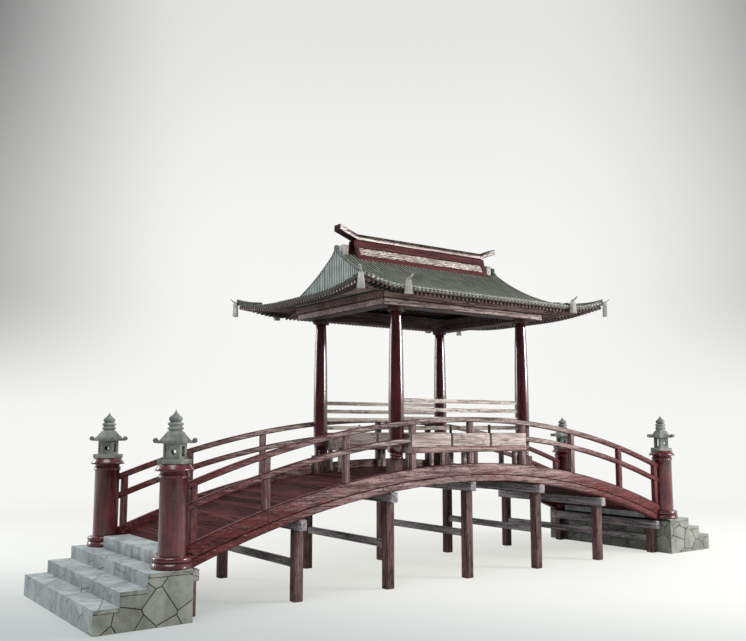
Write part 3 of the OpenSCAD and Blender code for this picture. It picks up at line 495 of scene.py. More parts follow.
# %% Divider iron
iron_finish, m, place = new_finish("divider iron")
rust = m.spread(m.noise(place, 30.0, 4.0, 0.65), 0.42, 0.68)
surface(m, m.mix(rust, rgb(0.016, 0.014, 0.014), rgb(0.06, 0.028, 0.02)),
        m.spread(rust, 0.0, 1.0, 0.5, 0.8), rust, 0.001, {"Metallic": 0.6})
print("finishes so far:", len(bpy.data.materials) - 1)

# %% [markdown]
# Sawn timber and cut stone never have knife edges. A copy of each such node is merged into one skin,
# its flat facets are dissolved, and a narrow bevel catches the light along the edges; on the long boards
# and beams the bevel has a darker finish of its own, partly dark paint and partly a painted shade line
# along edges and creases. Round pieces are only merged and shaded smooth.

# %% Ease the edges of a solid
MERGE, FLAT, SHARP, SMOOTH = 2e-5, math.radians(0.5), math.radians(40), 30


def settle(piece, slot, *replaced):
    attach(piece, "root")
    if replaced:
        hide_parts(*replaced)
    return piece


def baked(piece):
    bpy.context.view_layer.update()
    graph = bpy.context.evaluated_depsgraph_get()
    mesh = bpy.data.meshes.new_from_object(piece.evaluated_get(graph), preserve_all_data_layers=True,
                                           depsgraph=graph)
    piece.modifiers.clear()
    piece.data = mesh
    mesh.name = piece.name
    return piece


def mesh_of(name, skin):
    mesh = bpy.data.meshes.new(name)
    skin.to_mesh(mesh)
    skin.free()
    return mesh


def smoothed(mesh, degrees):
    mesh.shade_smooth()
    mesh.set_sharp_from_angle(angle=math.radians(degrees))


def eased(node, slot, finish, width=0.0, edge=None, reshape=None):
    skin = bmesh.new()
    skin.from_mesh(nodes[node].data)
    bmesh.ops.remove_doubles(skin, verts=skin.verts, dist=MERGE)
    if reshape:
        reshape(skin)
    if width:
        bmesh.ops.dissolve_limit(skin, angle_limit=FLAT, verts=skin.verts, edges=skin.edges)
    mesh = mesh_of(node + "_eased", skin)
    mesh.materials.clear()
    mesh.materials.append(finish)
    if edge:
        mesh.materials.append(edge)
    piece = stand(node + "_eased", mesh)
    if width:
        bevel = piece.modifiers.new("bevel", "BEVEL")
        bevel.width, bevel.segments, bevel.limit_method = width, 2, "ANGLE"
        bevel.angle_limit = SHARP
        bevel.material = 1 if edge else -1
        baked(piece)
    smoothed(piece.data, SMOOTH)
    return settle(piece, slot, node)


# %% [markdown]
# A copy may also be reshaped on its way, by moving its corners before the bevel. The columns swell a
# little above their foot, as turned shafts do, and the ridges on the verges are low and slim. Each
# corner is moved by a rule, so that nothing tears.

# %% Fuller shafts and slimmer verges
SHAFT = ((1.88, 0.104), (2.2, 0.113), (2.6, 0.116), (3.2, 0.107), (3.6, 0.098), (3.96, 0.083))
SHAFT_FOOT, BRACKET_REACH = 1.8805, 0.150
VERGE_CROWN, VERGE_TALL, VERGE_WIDE = 0.06, 0.5, 0.56
bracket_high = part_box("column_brackets")[1]
COLUMN_X, COLUMN_Y = bracket_high.x - BRACKET_REACH, bracket_high.y - BRACKET_REACH


def full_shaft(skin):
    for v in skin.verts:
        middle = Vector((math.copysign(COLUMN_X, v.co.x), math.copysign(COLUMN_Y, v.co.y)))
        out = v.co.xy - middle
        if v.co.z > SHAFT_FOOT and out.length > 0.001:
            for (z0, r0), (z1, r1) in zip(SHAFT, SHAFT[1:]):
                if z0 <= v.co.z <= z1 + 0.01:
                    out = out.normalized() * (r0 + (r1 - r0) * (v.co.z - z0) / (z1 - z0))
                    break
            v.co.xy = middle + out


def slim_verge(skin):
    inner = min(abs(v.co.x) for v in skin.verts)
    seats = {}
    for v in skin.verts:
        key = (round(v.co.x, 3), round(v.co.y, 3))
        seats[key] = min(seats.get(key, v.co.z), v.co.z)
    for v in skin.verts:
        seat = seats[round(v.co.x, 3), round(v.co.y, 3)]
        if abs(v.co.y) > VERGE_CROWN:
            v.co.z = seat + (v.co.z - seat) * VERGE_TALL
        v.co.x = math.copysign(inner + (abs(v.co.x) - inner) * VERGE_WIDE, v.co.x)


print("columns stand at:", round(COLUMN_X, 3), round(COLUMN_Y, 3))

# %% [markdown]
# On the ridge, the window of the box is low between two broad bars, and the box is a little more upright
# and the board on it thinner than their solids. The frame and the panel take the same change, so that
# they still meet.

# %% A low window and a thin board
WINDOW_X, WINDOW_DROP, WINDOW_LIFT = 1.33, 0.036, 0.055
BOX_TOP, BOX_TALL, BOX_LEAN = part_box("ridge_frames")[1].z, 0.34, 0.352
BOX_IN_TOP, BOX_IN_FOOT, BOARD_THIN = 0.010, 0.030, 0.82


def low_window(skin):
    middle = (min(v.co.z for v in skin.verts) + max(v.co.z for v in skin.verts)) / 2
    for v in skin.verts:
        if abs(v.co.x) < WINDOW_X:
            move = -WINDOW_DROP if v.co.z > middle else WINDOW_LIFT
            v.co.z += move
            v.co.y -= math.copysign(move * BOX_LEAN, v.co.y)
        share = (BOX_TOP - v.co.z) / BOX_TALL
        v.co.y -= math.copysign(BOX_IN_TOP + (BOX_IN_FOOT - BOX_IN_TOP) * share, v.co.y)


def thin_board(skin):
    for v in skin.verts:
        v.co.y *= BOARD_THIN


print("ridge box top:", round(BOX_TOP, 3))

# %% [markdown]
# The carved blocks that end the ridges narrow towards their tops. All are one node, so the skin is
# first parted into islands by walking along its edges; a block at a corner of the roof is narrowed
# across its own slanting direction, and one at the foot of a verge is lowered too.

# %% Slimmer end blocks
EAVE_HALF, CORNER_HALF = 1.5, 2.0
BLOCK_TALL, BLOCK_NARROW, BLOCK_LOW = 0.222, 0.27, 0.88


def islands(skin):
    left = set(skin.verts)
    while left:
        island, edge = set(), [left.pop()]
        while edge:
            v = edge.pop()
            island.add(v)
            near = {e.other_vert(v) for e in v.link_edges} & left
            left -= near
            edge += near
        yield island


def slim_block(skin):
    for island in islands(skin):
        foot = min(v.co.z for v in island)
        middle = sum((v.co for v in island), Vector()) / len(island)
        if abs(middle.y) < EAVE_HALF:
            continue
        at_corner = abs(middle.x) > CORNER_HALF
        wide = Vector((1, 0, 0))
        if at_corner:
            wide = Vector((-math.copysign(1, middle.x * middle.y), 1, 0)).normalized()
        for v in island:
            share = min(1.0, (v.co.z - foot) / BLOCK_TALL)
            v.co -= wide * (v.co - middle).dot(wide) * BLOCK_NARROW * share
            if not at_corner:
                v.co.z = foot + (v.co.z - foot) * BLOCK_LOW


# %% [markdown]
# Now every solid with edges or a new finish gets its copy. A row says which node, its slot, its finish,
# the width of the bevel, the finish of the bevel and the reshaping, as far as it needs them.

# %% Dress the solids
EASED = [
    ("legs", "brown_timber", leg_timber, 0.006),
    ("bent_caps", "brown_timber", cap_timber, 0.006),
    ("bent_ties", "brown_timber", cap_timber, 0.005),
    ("top_rails", "red_timber", rail_timber, 0.012, edge_red_and_shade),
    ("mid_rails", "red_timber", rail_timber, 0.012, edge_red_and_shade),
    ("rail_posts", "red_timber", rail_post_timber, 0.006),
    ("lower_ring_beam", "pale_timber", ring_timber, 0.008, edge_dark_and_shade),
    ("upper_ring_beam", "red_timber", fascia_timber, 0.008, edge_dark_and_shade),
    ("columns", "red_timber", column_lacquer, 0.0, None, full_shaft),
    ("column_brackets", "red_timber", leg_timber, 0.006),
    ("ridge_beam", "brown_timber", leg_timber, 0.005),
    ("rafters", "brown_timber", rafter_timber, 0.003),
    ("corner_rafters", "brown_timber", rafter_timber, 0.005),
    ("gables", "roof_tile", gable_shade),
    ("verge_ridges", "roof_tile", verge_tile, 0.004, None, slim_verge),
    ("corner_ridges", "roof_tile", verge_tile, 0.006),
    ("end_blocks", "stone", block_stone, 0.004, None, slim_block),
    ("ridge_frames", "red_timber", ridge_red, 0.008, edge_dark_and_shade, low_window),
    ("ridge_board", "red_timber", edge_dark_and_shade, 0.004, None, thin_board),
    ("ridge_panels", "cream_panel", panel_finish, 0.002, None, low_window),
]
for way in ("front", "back"):
    EASED += [(way + "_girder_upper", "red_timber", girder_timber, 0.015, edge_red_and_shade),
              (way + "_girder_lower", "red_timber", girder_timber, 0.015, edge_red_and_shade),
              (way + "_bench_legs", "pale_timber", bench_timber, 0.005),
              (way + "_bench_back", "pale_timber", slat_timber, 0.004),
              (way + "_bench_seat", "pale_timber", bench_timber, 0.010, edge_dark_and_shade),
              (way + "_slope", "roof_tile", sheet_finish)]
for end in ("left", "right"):
    EASED += [(end + "_threshold", "stone", slab_stone, 0.008),
              (end + "_skirt", "roof_tile", sheet_finish)]
    for way in ("front", "back"):
        EASED += [("post_%s_%s" % (end, way), "red_timber", post_lacquer),
                  ("lantern_%s_%s" % (end, way), "stone", carved_stone, 0.004)]
dressed = {row[0]: eased(*row) for row in EASED}
print("eased:", len(dressed), "triangles:",
      sum(len(p.vertices) - 2 for o in dressed.values() for p in o.data.polygons))

# %% [markdown]
# The square block under each column is bare wood, not lacquer. It belongs to the column's solid, so the
# faces below its top take a second finish.

# %% Blocks under the columns
COLUMN_BLOCK = 0.288
mesh = dressed["columns"].data
mesh.materials.append(leg_timber)
block_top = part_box("columns")[0].z + COLUMN_BLOCK
for face in mesh.polygons:
    if max(mesh.vertices[v].co.z for v in face.vertices) < block_top:
        face.material_index = 1
print("block faces:", sum(face.material_index for face in mesh.polygons))

# %% [markdown]
# The ring beams are pale on their outer faces. Their inner sides and undersides take a dark finish, a
# painted shade for the inside of the pavilion, and the direction of a face, compared with its place,
# tells an inner side from an outer one.

# %% Insides of the ring beams
for name in ("lower_ring_beam", "upper_ring_beam"):
    mesh = dressed[name].data
    mesh.materials.append(inner_shade_timber)
    for face in mesh.polygons:
        outward = face.normal.x * face.center.x + face.normal.y * face.center.y
        # Painted shade on the inner sides and undersides.
        if outward < -0.3 or face.normal.z < -0.7:
            face.material_index = 2
    print(name, "dark faces:", sum(face.material_index == 2 for face in mesh.polygons))

# %% [markdown]
# A bench has three finishes: a rounded base of worn red timber, pale boxes, and thin iron dividers
# between them. All are one solid, so the place of each face decides which finish it takes.

# %% Finishes of the benches
BASE_TALL, DIVIDER_X, DIVIDER_T, DIVIDER_NEAR = 0.090, 0.3987, 0.012, 0.0015
DIVIDER_Y0, DIVIDER_Y1 = 1.168, 1.226


def on_divider(spots, x):
    return all(abs(abs(v.x) - x) < DIVIDER_T / 2 + DIVIDER_NEAR and DIVIDER_Y0 < abs(v.y) < DIVIDER_Y1
               for v in spots)


for name in ("front_bench_seat", "back_bench_seat"):
    mesh = dressed[name].data
    mesh.materials.append(base_timber)
    mesh.materials.append(iron_finish)
    low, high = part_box(name)
    count = [0, 0, 0, 0]
    for face in mesh.polygons:
        spots = [mesh.vertices[v].co for v in face.vertices]
        if max(v.z for v in spots) < low.z + BASE_TALL + 0.001 and face.material_index == 0:
            face.material_index = 2
        elif on_divider(spots, high.x - DIVIDER_T / 2) or on_divider(spots, DIVIDER_X):
            face.material_index = 3
        count[face.material_index] += 1
    print(name, "faces of boxes, edges, base and dividers:", count)

# %% [markdown]
# Geometry Nodes make the small pieces that repeat, because one tree with a few named inputs can serve
# hundreds of them. Each tree starts with its inputs and ends in plain faces with a finish. A holder
# object carries the tree as a modifier, gets its values by the sockets' identifiers, and is then baked
# into a plain mesh.

# %% The start, the end and the use of a tree
RAY_LENGTH = 6.0


def new_tree(name, inputs):
    tree = bpy.data.node_groups.new(name, "GeometryNodeTree")
    tree.is_modifier = True
    for label, kind in inputs.items():
        tree.interface.new_socket(label, in_out="INPUT", socket_type="NodeSocket" + kind)
    tree.interface.new_socket("Geometry", in_out="OUTPUT", socket_type="NodeSocketGeometry")
    m = Maker(tree)
    return tree, m, m.add("NodeGroupInput")


def close_tree(m, shapes, finish):
    plain = m.add("GeometryNodeRealizeInstances", {}, {"Geometry": shapes})
    coated = m.add("GeometryNodeSetMaterial", {}, {"Geometry": plain, "Material": finish})
    m.add("NodeGroupOutput", {}, {"Geometry": coated})


def cast(m, target, direction):
    skin = m.add("GeometryNodeObjectInfo", {"transform_space": "ORIGINAL"}, {"Object": target}, "Geometry")
    return m.add("GeometryNodeRaycast", {}, {"Target Geometry": skin, "Ray Direction": direction,
                                             "Ray Length": RAY_LENGTH}, "Is Hit")


def store(m, geometry, name, value, kind="FLOAT", domain="POINT"):
    return m.add("GeometryNodeStoreNamedAttribute", {"data_type": kind, "domain": domain},
                 {"Geometry": geometry, "Name": name, "Value": value})


def store_shade(m, laid, seed):
    chance = m.add("FunctionNodeRandomValue", {"data_type": "FLOAT"}, {"Seed": seed}, 1)
    return store(m, laid, "shade", chance, domain="INSTANCE")


def grown(name, tree, values, points=(), edges=()):
    mesh = bpy.data.meshes.new(name)
    mesh.from_pydata(points, edges, [])
    holder = stand(name, mesh)
    modifier = holder.modifiers.new("tree", "NODES")
    modifier.node_group = tree
    for item in tree.interface.items_tree:
        if item.in_out == "INPUT" and item.name in values:
            modifier[item.identifier] = values[item.name]
    return baked(holder)


# %% [markdown]
# The first tree lays pieces on a surface. The points come in as a plain mesh; each one shoots a ray at
# the surface, a piece is placed where it lands, turned, leaned to the face and given its own shade.
# With Fill the piece stays at its point and is stretched as far as the ray reached. One tree serves
# tiles, tile ends, rafter tails and ribs.

# %% The laying tree
lay_tree, m, given = new_tree("lay on a surface", {
    "Points": "Geometry", "Surface": "Object", "Piece": "Object", "Ray": "Vector", "Turn": "Float",
    "Lean": "Float", "Fill": "Float", "Lift": "Float", "Seed": "Int", "Finish": "Material"})
hit = cast(m, given.out("Surface"), given.out("Ray"))
missed = m.add("FunctionNodeBooleanMath", {"operation": "NOT"}, {0: hit})
found = m.add("GeometryNodeDeleteGeometry", {"domain": "POINT"}, {"Geometry": given, "Selection": missed})
found = store(m, found, "facing", hit.out("Hit Normal"), "FLOAT_VECTOR")
found = store(m, found, "reach", hit.out("Hit Distance"))
spot = m.add("ShaderNodeMix", {"data_type": "VECTOR"},
             {0: given.out("Fill"), 4: hit.out("Hit Position"), 5: m.add("GeometryNodeInputPosition")}, 1)
lifted = m.add("ShaderNodeVectorMath", {"operation": "SCALE"},
               {0: given.out("Ray"), "Scale": given.out("Lift") * -1.0})
found = m.add("GeometryNodeSetPosition", {}, {"Geometry": found, "Position": m.vector("ADD", spot, lifted)})
facing = m.add("GeometryNodeInputNamedAttribute", {"data_type": "FLOAT_VECTOR"}, {"Name": "facing"})
reach = m.add("GeometryNodeInputNamedAttribute", {"data_type": "FLOAT"}, {"Name": "reach"})
turned = m.add("FunctionNodeEulerToRotation", {}, {0: m.point(Z=given.out("Turn"))})
turned = m.add("FunctionNodeAlignRotationToVector", {"axis": "Z", "pivot_axis": "AUTO"},
               {"Rotation": turned, "Factor": given.out("Lean"), "Vector": facing})
scale = m.point(X=1.0, Y=1.0, Z=1 + given.out("Fill") * (reach - 1))
shape = m.add("GeometryNodeObjectInfo", {"transform_space": "ORIGINAL"},
              {"Object": given.out("Piece"), "As Instance": True}, "Geometry")
laid = m.add("GeometryNodeInstanceOnPoints", {}, {"Points": found, "Instance": shape, "Rotation": turned,
                                                 "Scale": scale})
close_tree(m, store_shade(m, laid, given.out("Seed")), given.out("Finish"))
print("laying tree nodes:", len(lay_tree.nodes))

# %% [markdown]
# A row of pieces is then one call: the points, the shape and the surface, with the turn in degrees. The
# two numbers that the tree stored for its own use are taken off the baked mesh.

# %% Lay a row of pieces
def lay(name, slot, finish, points, piece, target, ray=(0, 0, -1), turn=0.0, lean=1.0, fill=0.0,
        lift=0.0, seed=1, smooth=None):
    values = {"Surface": target, "Piece": piece, "Ray": ray, "Turn": math.radians(turn),
              "Lean": float(lean), "Fill": float(fill), "Lift": float(lift), "Seed": seed, "Finish": finish}
    holder = grown(name, lay_tree, values, points)
    for spare in ("facing", "reach"):
        if spare in holder.data.attributes:
            holder.data.attributes.remove(holder.data.attributes[spare])
    if smooth:
        smoothed(holder.data, smooth)
    settle(holder, slot)
    print(name, "points:", len(points), "faces:", len(holder.data.polygons))


# %% [markdown]
# The shapes that are laid are drawn once, with few faces, at the origin: a half-round cover tile that
# widens towards its tail, a short round tile end in two sizes, a half-round rib one metre tall and the
# square tail of a rafter. Each is a loft, a skin drawn through rings of points.

# %% Shapes to lay
TILE_L, TILE_R, TILE_HEAD_R, TILE_HEAD_DROP, TILE_LIP = 0.245, 0.027, 0.0235, 0.006, 0.02
DISC_R, SMALL_DISC_R, DISC_SIDES = 0.026, 0.019, 10
RIB_R, RIB_OUT = 0.0155, 0.022
TAIL_HALF_W, TAIL_HALF_L, TAIL_DEEP, TAIL_SUNK = 0.019, 0.085, 0.042, 0.004
helpers = []


def loft(name, rings):
    n, skin = len(rings[0]), bmesh.new()
    verts = [[skin.verts.new(v) for v in ring] for ring in rings]
    for low, high in zip(verts, verts[1:]):
        for i in range(n):
            skin.faces.new((low[i], low[(i + 1) % n], high[(i + 1) % n], high[i]))
    skin.faces.new(verts[0][::-1])
    skin.faces.new(verts[-1])
    bmesh.ops.recalc_face_normals(skin, faces=skin.faces)
    helpers.append(stand(name, mesh_of(name, skin)))
    return helpers[-1]


def half_ring(radius, sides, place):
    angles = [math.pi * i / sides for i in range(sides + 1)]
    return [place(radius * math.cos(a), radius * math.sin(a)) for a in angles]


def round_end(name, radius):
    turns = [2 * math.pi * i / DISC_SIDES for i in range(DISC_SIDES)]
    rims = ((radius, 0.02), (radius, -0.010), (radius * 0.7, -0.016))
    return loft(name, [[(r * math.cos(a), y, r * math.sin(a)) for a in turns] for r, y in rims])


cover = loft("cover_tile", [half_ring(TILE_HEAD_R, 6, lambda u, v: (u, 0.0, v - TILE_HEAD_DROP)),
                            half_ring(TILE_R, 6, lambda u, v: (u, -TILE_L + TILE_LIP, v)),
                            half_ring(TILE_R * 0.9, 6, lambda u, v: (u, -TILE_L, v))])
disc, small_disc = round_end("tile_end", DISC_R), round_end("small_tile_end", SMALL_DISC_R)
rib = loft("gable_rib", [[(RIB_R, 0.0, z), *half_ring(RIB_R, 4, lambda u, v: (u, -RIB_OUT - v * 0.5, z)),
                          (-RIB_R, 0.0, z)] for z in (0.0, 1.0)])
tail = loft("rafter_tail", [[(a * TAIL_HALF_W, b * TAIL_HALF_L, z)
                             for a, b in ((-1, -1), (1, -1), (1, 1), (-1, 1))]
                            for z in (-TAIL_DEEP, TAIL_SUNK)])
print("shapes:", [o.name for o in helpers])

# %% [markdown]
# One skin of the whole roof and one of the slopes alone catch the rays. They are helpers only, like the
# shapes above, and are thrown away at the end.

# %% Helper skins of the roof
def joined(name, parts):
    skin = bmesh.new()
    for part in parts:
        skin.from_mesh(nodes[part].data)
    helpers.append(stand(name, mesh_of(name, skin)))
    return helpers[-1]


roof_skin = joined("roof_skin", ["front_slope", "back_slope", "left_skirt", "right_skirt"])
slope_skin = joined("slope_skin", ["front_slope", "back_slope"])
slope_low, slope_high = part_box("front_slope")
EAVE_X, EAVE_Y, VERGE_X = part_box("right_skirt")[1].x, -slope_low.y, slope_high.x
print("eaves:", round(EAVE_X, 3), round(EAVE_Y, 3), "verge:", round(VERGE_X, 3))

# %% [markdown]
# Cover tiles run down the slopes in straight columns. On the end roofs they turn at the hip, so each
# point is first sorted by which eave is nearer. The tail of each tile lies on the head of the next.

# %% Cover tiles
TILE_PITCH, TILE_STEP, OVERHANG, HIP_LAP, ABOVE = 0.0738, 0.19, 0.012, 0.22, 6.0


def steps(first, last, pitch):
    count = max(1, round((last - first) / pitch))
    return [first + (last - first) * i / count for i in range(count + 1)]


columns_x = steps(-VERGE_X + 0.075, VERGE_X - 0.075, TILE_PITCH)
hip_x = steps(VERGE_X + 0.06, EAVE_X - 0.04, TILE_PITCH)
rows_y = steps(-EAVE_Y + 0.04, EAVE_Y - 0.04, TILE_PITCH)
last_x, last_y = EAVE_X - TILE_L + OVERHANG, EAVE_Y - TILE_L + OVERHANG
heads = steps(0.07, last_y, TILE_STEP)
hip_heads = steps(EAVE_Y - TILE_L - 0.55, last_y, TILE_STEP)
end_heads = steps(VERGE_X + 0.03, last_x, TILE_STEP)
for side, name, turn, seed in ((-1, "front", 0, 3), (1, "back", 180, 4)):
    lay(name + "_tiles", "roof_tile", slope_tile, [(x, side * y, ABOVE) for x in columns_x for y in heads],
        cover, slope_skin, turn=turn, seed=seed, smooth=50)
    lay(name + "_hip_tiles", "roof_tile", slope_tile,
        [(s * x, side * y, ABOVE) for s in (-1, 1) for x in hip_x for y in hip_heads
         if EAVE_Y - y < EAVE_X - x + HIP_LAP],
        cover, roof_skin, turn=turn, seed=seed + 4, smooth=50)
for side, name, turn, seed in ((-1, "left", -90, 5), (1, "right", 90, 6)):
    lay(name + "_skirt_tiles", "roof_tile", skirt_tile,
        [(side * x, y, ABOVE) for y in rows_y for x in end_heads
         if EAVE_X - x < EAVE_Y - abs(y) + HIP_LAP],
        cover, roof_skin, turn=turn, seed=seed, smooth=50)

# %% [markdown]
# Each column of tiles ends at the eave in a round tile end, pale on the long sides. The points follow
# the four eaves and the rays find the height, so the row lifts with the corners.

# %% Tile ends
def eave_rows(xs, inset, z):
    return (("front", 0, [(x, -EAVE_Y + inset, z) for x in xs]),
            ("back", 180, [(x, EAVE_Y - inset, z) for x in xs]),
            ("left", -90, [(-EAVE_X + inset, y, z) for y in rows_y]),
            ("right", 90, [(EAVE_X - inset, y, z) for y in rows_y]))


for name, turn, points in eave_rows(steps(-EAVE_X + 0.05, EAVE_X - 0.05, TILE_PITCH), OVERHANG, ABOVE):
    finish, shape = (end_tile, disc) if name in ("front", "back") else (skirt_tile, small_disc)
    lay(name + "_tile_ends", "roof_tile", finish, points, shape, roof_skin, turn=turn, lean=0.0,
        lift=0.002, seed=9, smooth=50)

# %% [markdown]
# Under the lifted end roofs the rafter tails go on round the corners. They follow the same four eaves,
# further in, and here the rays point upwards, to the underside.

# %% Rafter tails
BELOW, TAIL_INSET, TAIL_PITCH, TAIL_FIRST = 3.6, 0.105, 0.0777, 1.64
tail_xs = [s * x for s in (-1, 1) for x in steps(TAIL_FIRST, EAVE_X - 0.06, TAIL_PITCH)]
for name, turn, points in eave_rows(tail_xs, TAIL_INSET, BELOW):
    lay(name + "_rafter_tails", "brown_timber", front_tail if name in ("front", "back") else side_tail,
        points, tail, roof_skin, ray=(0, 0, 1), turn=turn, lean=0.0, seed=11)

# %% [markdown]
# Long strips run along the end eaves under the sheets. Each starts as a level line of points; a second,
# smaller tree lifts the points to the underside, turns the line into a curve and sweeps a section
# along it, so that the strip bends with the roof.

# %% Soffit strips
STRIP_W, STRIP_DEEP, STRIP_STEP, STRIP_SHORT = 0.042, 0.056, 0.08, 0.05
strip_tree, m, given = new_tree("strip under a surface", {
    "Lines": "Geometry", "Surface": "Object", "Width": "Float", "Depth": "Float", "Finish": "Material"})
hit = cast(m, given.out("Surface"), (0, 0, 1))
line = m.add("GeometryNodeSetPosition", {}, {"Geometry": given, "Position": hit.out("Hit Position"),
                                             "Selection": hit})
path = m.add("GeometryNodeMeshToCurve", {}, {"Mesh": line})
section = m.add("GeometryNodeCurvePrimitiveQuadrilateral", {},
                {"Width": given.out("Width"), "Height": given.out("Depth")})
strip = m.add("GeometryNodeCurveToMesh", {}, {"Curve": path, "Profile Curve": section, "Fill Caps": True})
close_tree(m, strip, given.out("Finish"))

for side, name in ((-1, "left"), (1, "right")):
    points, edges = [], []
    for offset in (0.08, 0.20, 0.32, 0.44, 0.56):
        x = VERGE_X + offset
        half = EAVE_Y - (EAVE_X - x) - STRIP_SHORT
        row = steps(-half, half, STRIP_STEP)
        edges += [(len(points) + i, len(points) + i + 1) for i in range(len(row) - 1)]
        points += [(side * x, y, BELOW) for y in row]
    values = {"Surface": roof_skin, "Width": STRIP_W, "Depth": STRIP_DEEP, "Finish": fascia_timber}
    holder = grown(name + "_soffit_strips", strip_tree, values, points, edges)
    settle(holder, "brown_timber")
    print(holder.name, "points:", len(points), "faces:", len(holder.data.polygons))

# %% [markdown]
# The gable walls are ribbed: half-round tiles stand side by side from the end roof up to the slopes.
# Each rib is a metre tall and the ray to the slope above gives the factor that makes it fit. The ribs
# stand just clear of the sheet's end and are lifted by its thickness, so that they cover its edge.

# %% Gable ribs
SHEET_T, RIB_PITCH, RIB_LAST_Y, RIB_SUNK, RIB_FOOT = 0.046, 0.049, 1.62, 0.004, 0.01
gable_low, gable_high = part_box("gables")
for side, name, turn in ((-1, "left", -90), (1, "right", 90)):
    points = [(side * (gable_high.x - RIB_SUNK), y, gable_low.z + RIB_FOOT - SHEET_T)
              for y in steps(-RIB_LAST_Y, RIB_LAST_Y, RIB_PITCH)]
    lay(name + "_gable_ribs", "roof_tile", gable_tile, points, rib, slope_skin, ray=(0, 0, 1), turn=turn,
        lean=0.0, fill=1.0, lift=-SHEET_T, seed=13, smooth=50)

# %% [markdown]
# The deck is made of planks laid across the bridge. They could be an array along a curve, but the arch
# is a plain circle, so a third tree turns each plank about its centre. A small random change of the
# radius leaves some planks a little lower than others, as worn ones are.

# %% The plank tree
plank_tree, m, given = new_tree("planks on an arch", {
    "Count": "Int", "Radius": "Float", "Half angle": "Float", "Top": "Float", "Size": "Vector",
    "Seed": "Int", "Finish": "Material"})
line = m.add("GeometryNodeMeshLine", {}, {"Count": given})
share = m.add("GeometryNodeInputIndex") / (given - 1)
angle = (share * 2 - 1) * given.out("Half angle")
wear = m.add("FunctionNodeRandomValue", {"data_type": "FLOAT"},
             {2: -0.0015, 3: 0.0008, "Seed": given.out("Seed")}, 1)
radius = given.out("Radius") + wear
spot = m.point(X=m.math("SINE", angle) * radius,
               Z=m.math("COSINE", angle) * radius + (given.out("Top") - given.out("Radius")))
line = m.add("GeometryNodeSetPosition", {}, {"Geometry": line, "Position": spot})
plank = m.add("GeometryNodeMeshCube", {}, {"Size": given.out("Size")}, "Mesh")
turned = m.add("FunctionNodeEulerToRotation", {}, {0: m.point(Y=angle)})
laid = m.add("GeometryNodeInstanceOnPoints", {}, {"Points": line, "Instance": plank, "Rotation": turned})
close_tree(m, store_shade(m, laid, given.out("Seed") + 1), given.out("Finish"))
print("plank tree nodes:", len(plank_tree.nodes))

# %% [markdown]
# Deck planks are dark red-brown and dull, each with its own tone. The plank's shade also slides the
# grain along, so that it doesn't run on from one plank to the next.

# %% Deck finish
deck_finish, m, place = new_finish("deck plank")
shade = m.own_shade()
shifted = m.vector("ADD", place, m.point(Y=shade * 7))
grain = m.noise(shifted, (38, 1.5, 38), 4.0, 0.6)
tread = m.noise(place, 1.6, 4.0, 0.62)
split = m.spread(abs(m.noise(shifted, (13, 0.7, 13), 3.0, 0.5) - 0.5), 0.0, 0.02)
body = m.mix(m.spread(grain * 0.5 + shade * 0.35 + tread * 0.3, 0.3, 0.85), rgb(0.024, 0.0075, 0.0075),
             rgb(0.115, 0.040, 0.038))
surface(m, m.mix(split, rgb(0.004, 0.002, 0.002), body), m.spread(grain, 0.2, 0.8, 0.78, 0.58),
        grain * 0.5 + split * 0.5, 0.003, {"Specular IOR Level": 0.03})
print("deck finish:", deck_finish.name)

# %% [markdown]
# The radius of the arch comes from the height and the length of the deck's own box, and the planks
# share its length evenly, with a narrow gap after each.

# %% Deck planks
PLANK_T, PLANK_COUNT, PLANK_GAP, PLANK_INSET = 0.05, 64, 0.006, 0.004
deck_low, deck_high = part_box("deck")
rise = deck_high.z - deck_low.z - PLANK_T
deck_r = (deck_high.x ** 2 + rise ** 2) / (2 * rise)
half_angle = math.asin(deck_high.x / deck_r)
plank_w = 2 * half_angle * deck_r / PLANK_COUNT
planks = grown("deck_planks", plank_tree, {
    "Count": PLANK_COUNT, "Radius": deck_r - PLANK_T / 2, "Half angle": half_angle * (1 - 1 / PLANK_COUNT),
    "Top": deck_high.z - PLANK_T / 2, "Seed": 21, "Finish": deck_finish,
    "Size": (plank_w - PLANK_GAP, 2 * deck_high.y - PLANK_INSET, PLANK_T - PLANK_INSET)})
settle(planks, "brown_timber", "deck")
print("deck radius:", round(deck_r, 3), "planks:", PLANK_COUNT, "faces:", len(planks.data.polygons))

# %% [markdown]
# The stairs are faced with crazy paving: big flat stones of no fixed shape with dark joints. Seeded
# points are spread over a face; each stone is what lies nearer to its point than to any other, less
# half a joint. It is found by clipping the face once for every other point.

# %% Outlines of the paving stones
LOOSE_U, LOOSE_V, STAGGER = 0.36, 0.34, 0.25


def clip(poly, nx, ny, d):
    out = []
    for i, p in enumerate(poly):
        q = poly[(i + 1) % len(poly)]
        a, b = p[0] * nx + p[1] * ny - d, q[0] * nx + q[1] * ny - d
        if a <= 0:
            out.append(p)
        if (a < 0 < b) or (b < 0 < a):
            t = a / (a - b)
            out.append((p[0] + (q[0] - p[0]) * t, p[1] + (q[1] - p[1]) * t))
    return out


def scatter(rng, u0, v0, u1, v1, pitch):
    nu, nv = (max(1, round(size / step)) for size, step in zip((u1 - u0, v1 - v0), pitch))
    wide, tall = (u1 - u0) / nu, (v1 - v0) / nv
    return [(u0 + (i + 0.5 + rng.uniform(-LOOSE_U, LOOSE_U) + STAGGER * (j % 2 * 2 - 1)) * wide,
             v0 + (j + 0.5 + rng.uniform(-LOOSE_V, LOOSE_V)) * tall)
            for i in range(-1, nu + 1) for j in range(-1, nv + 1)]


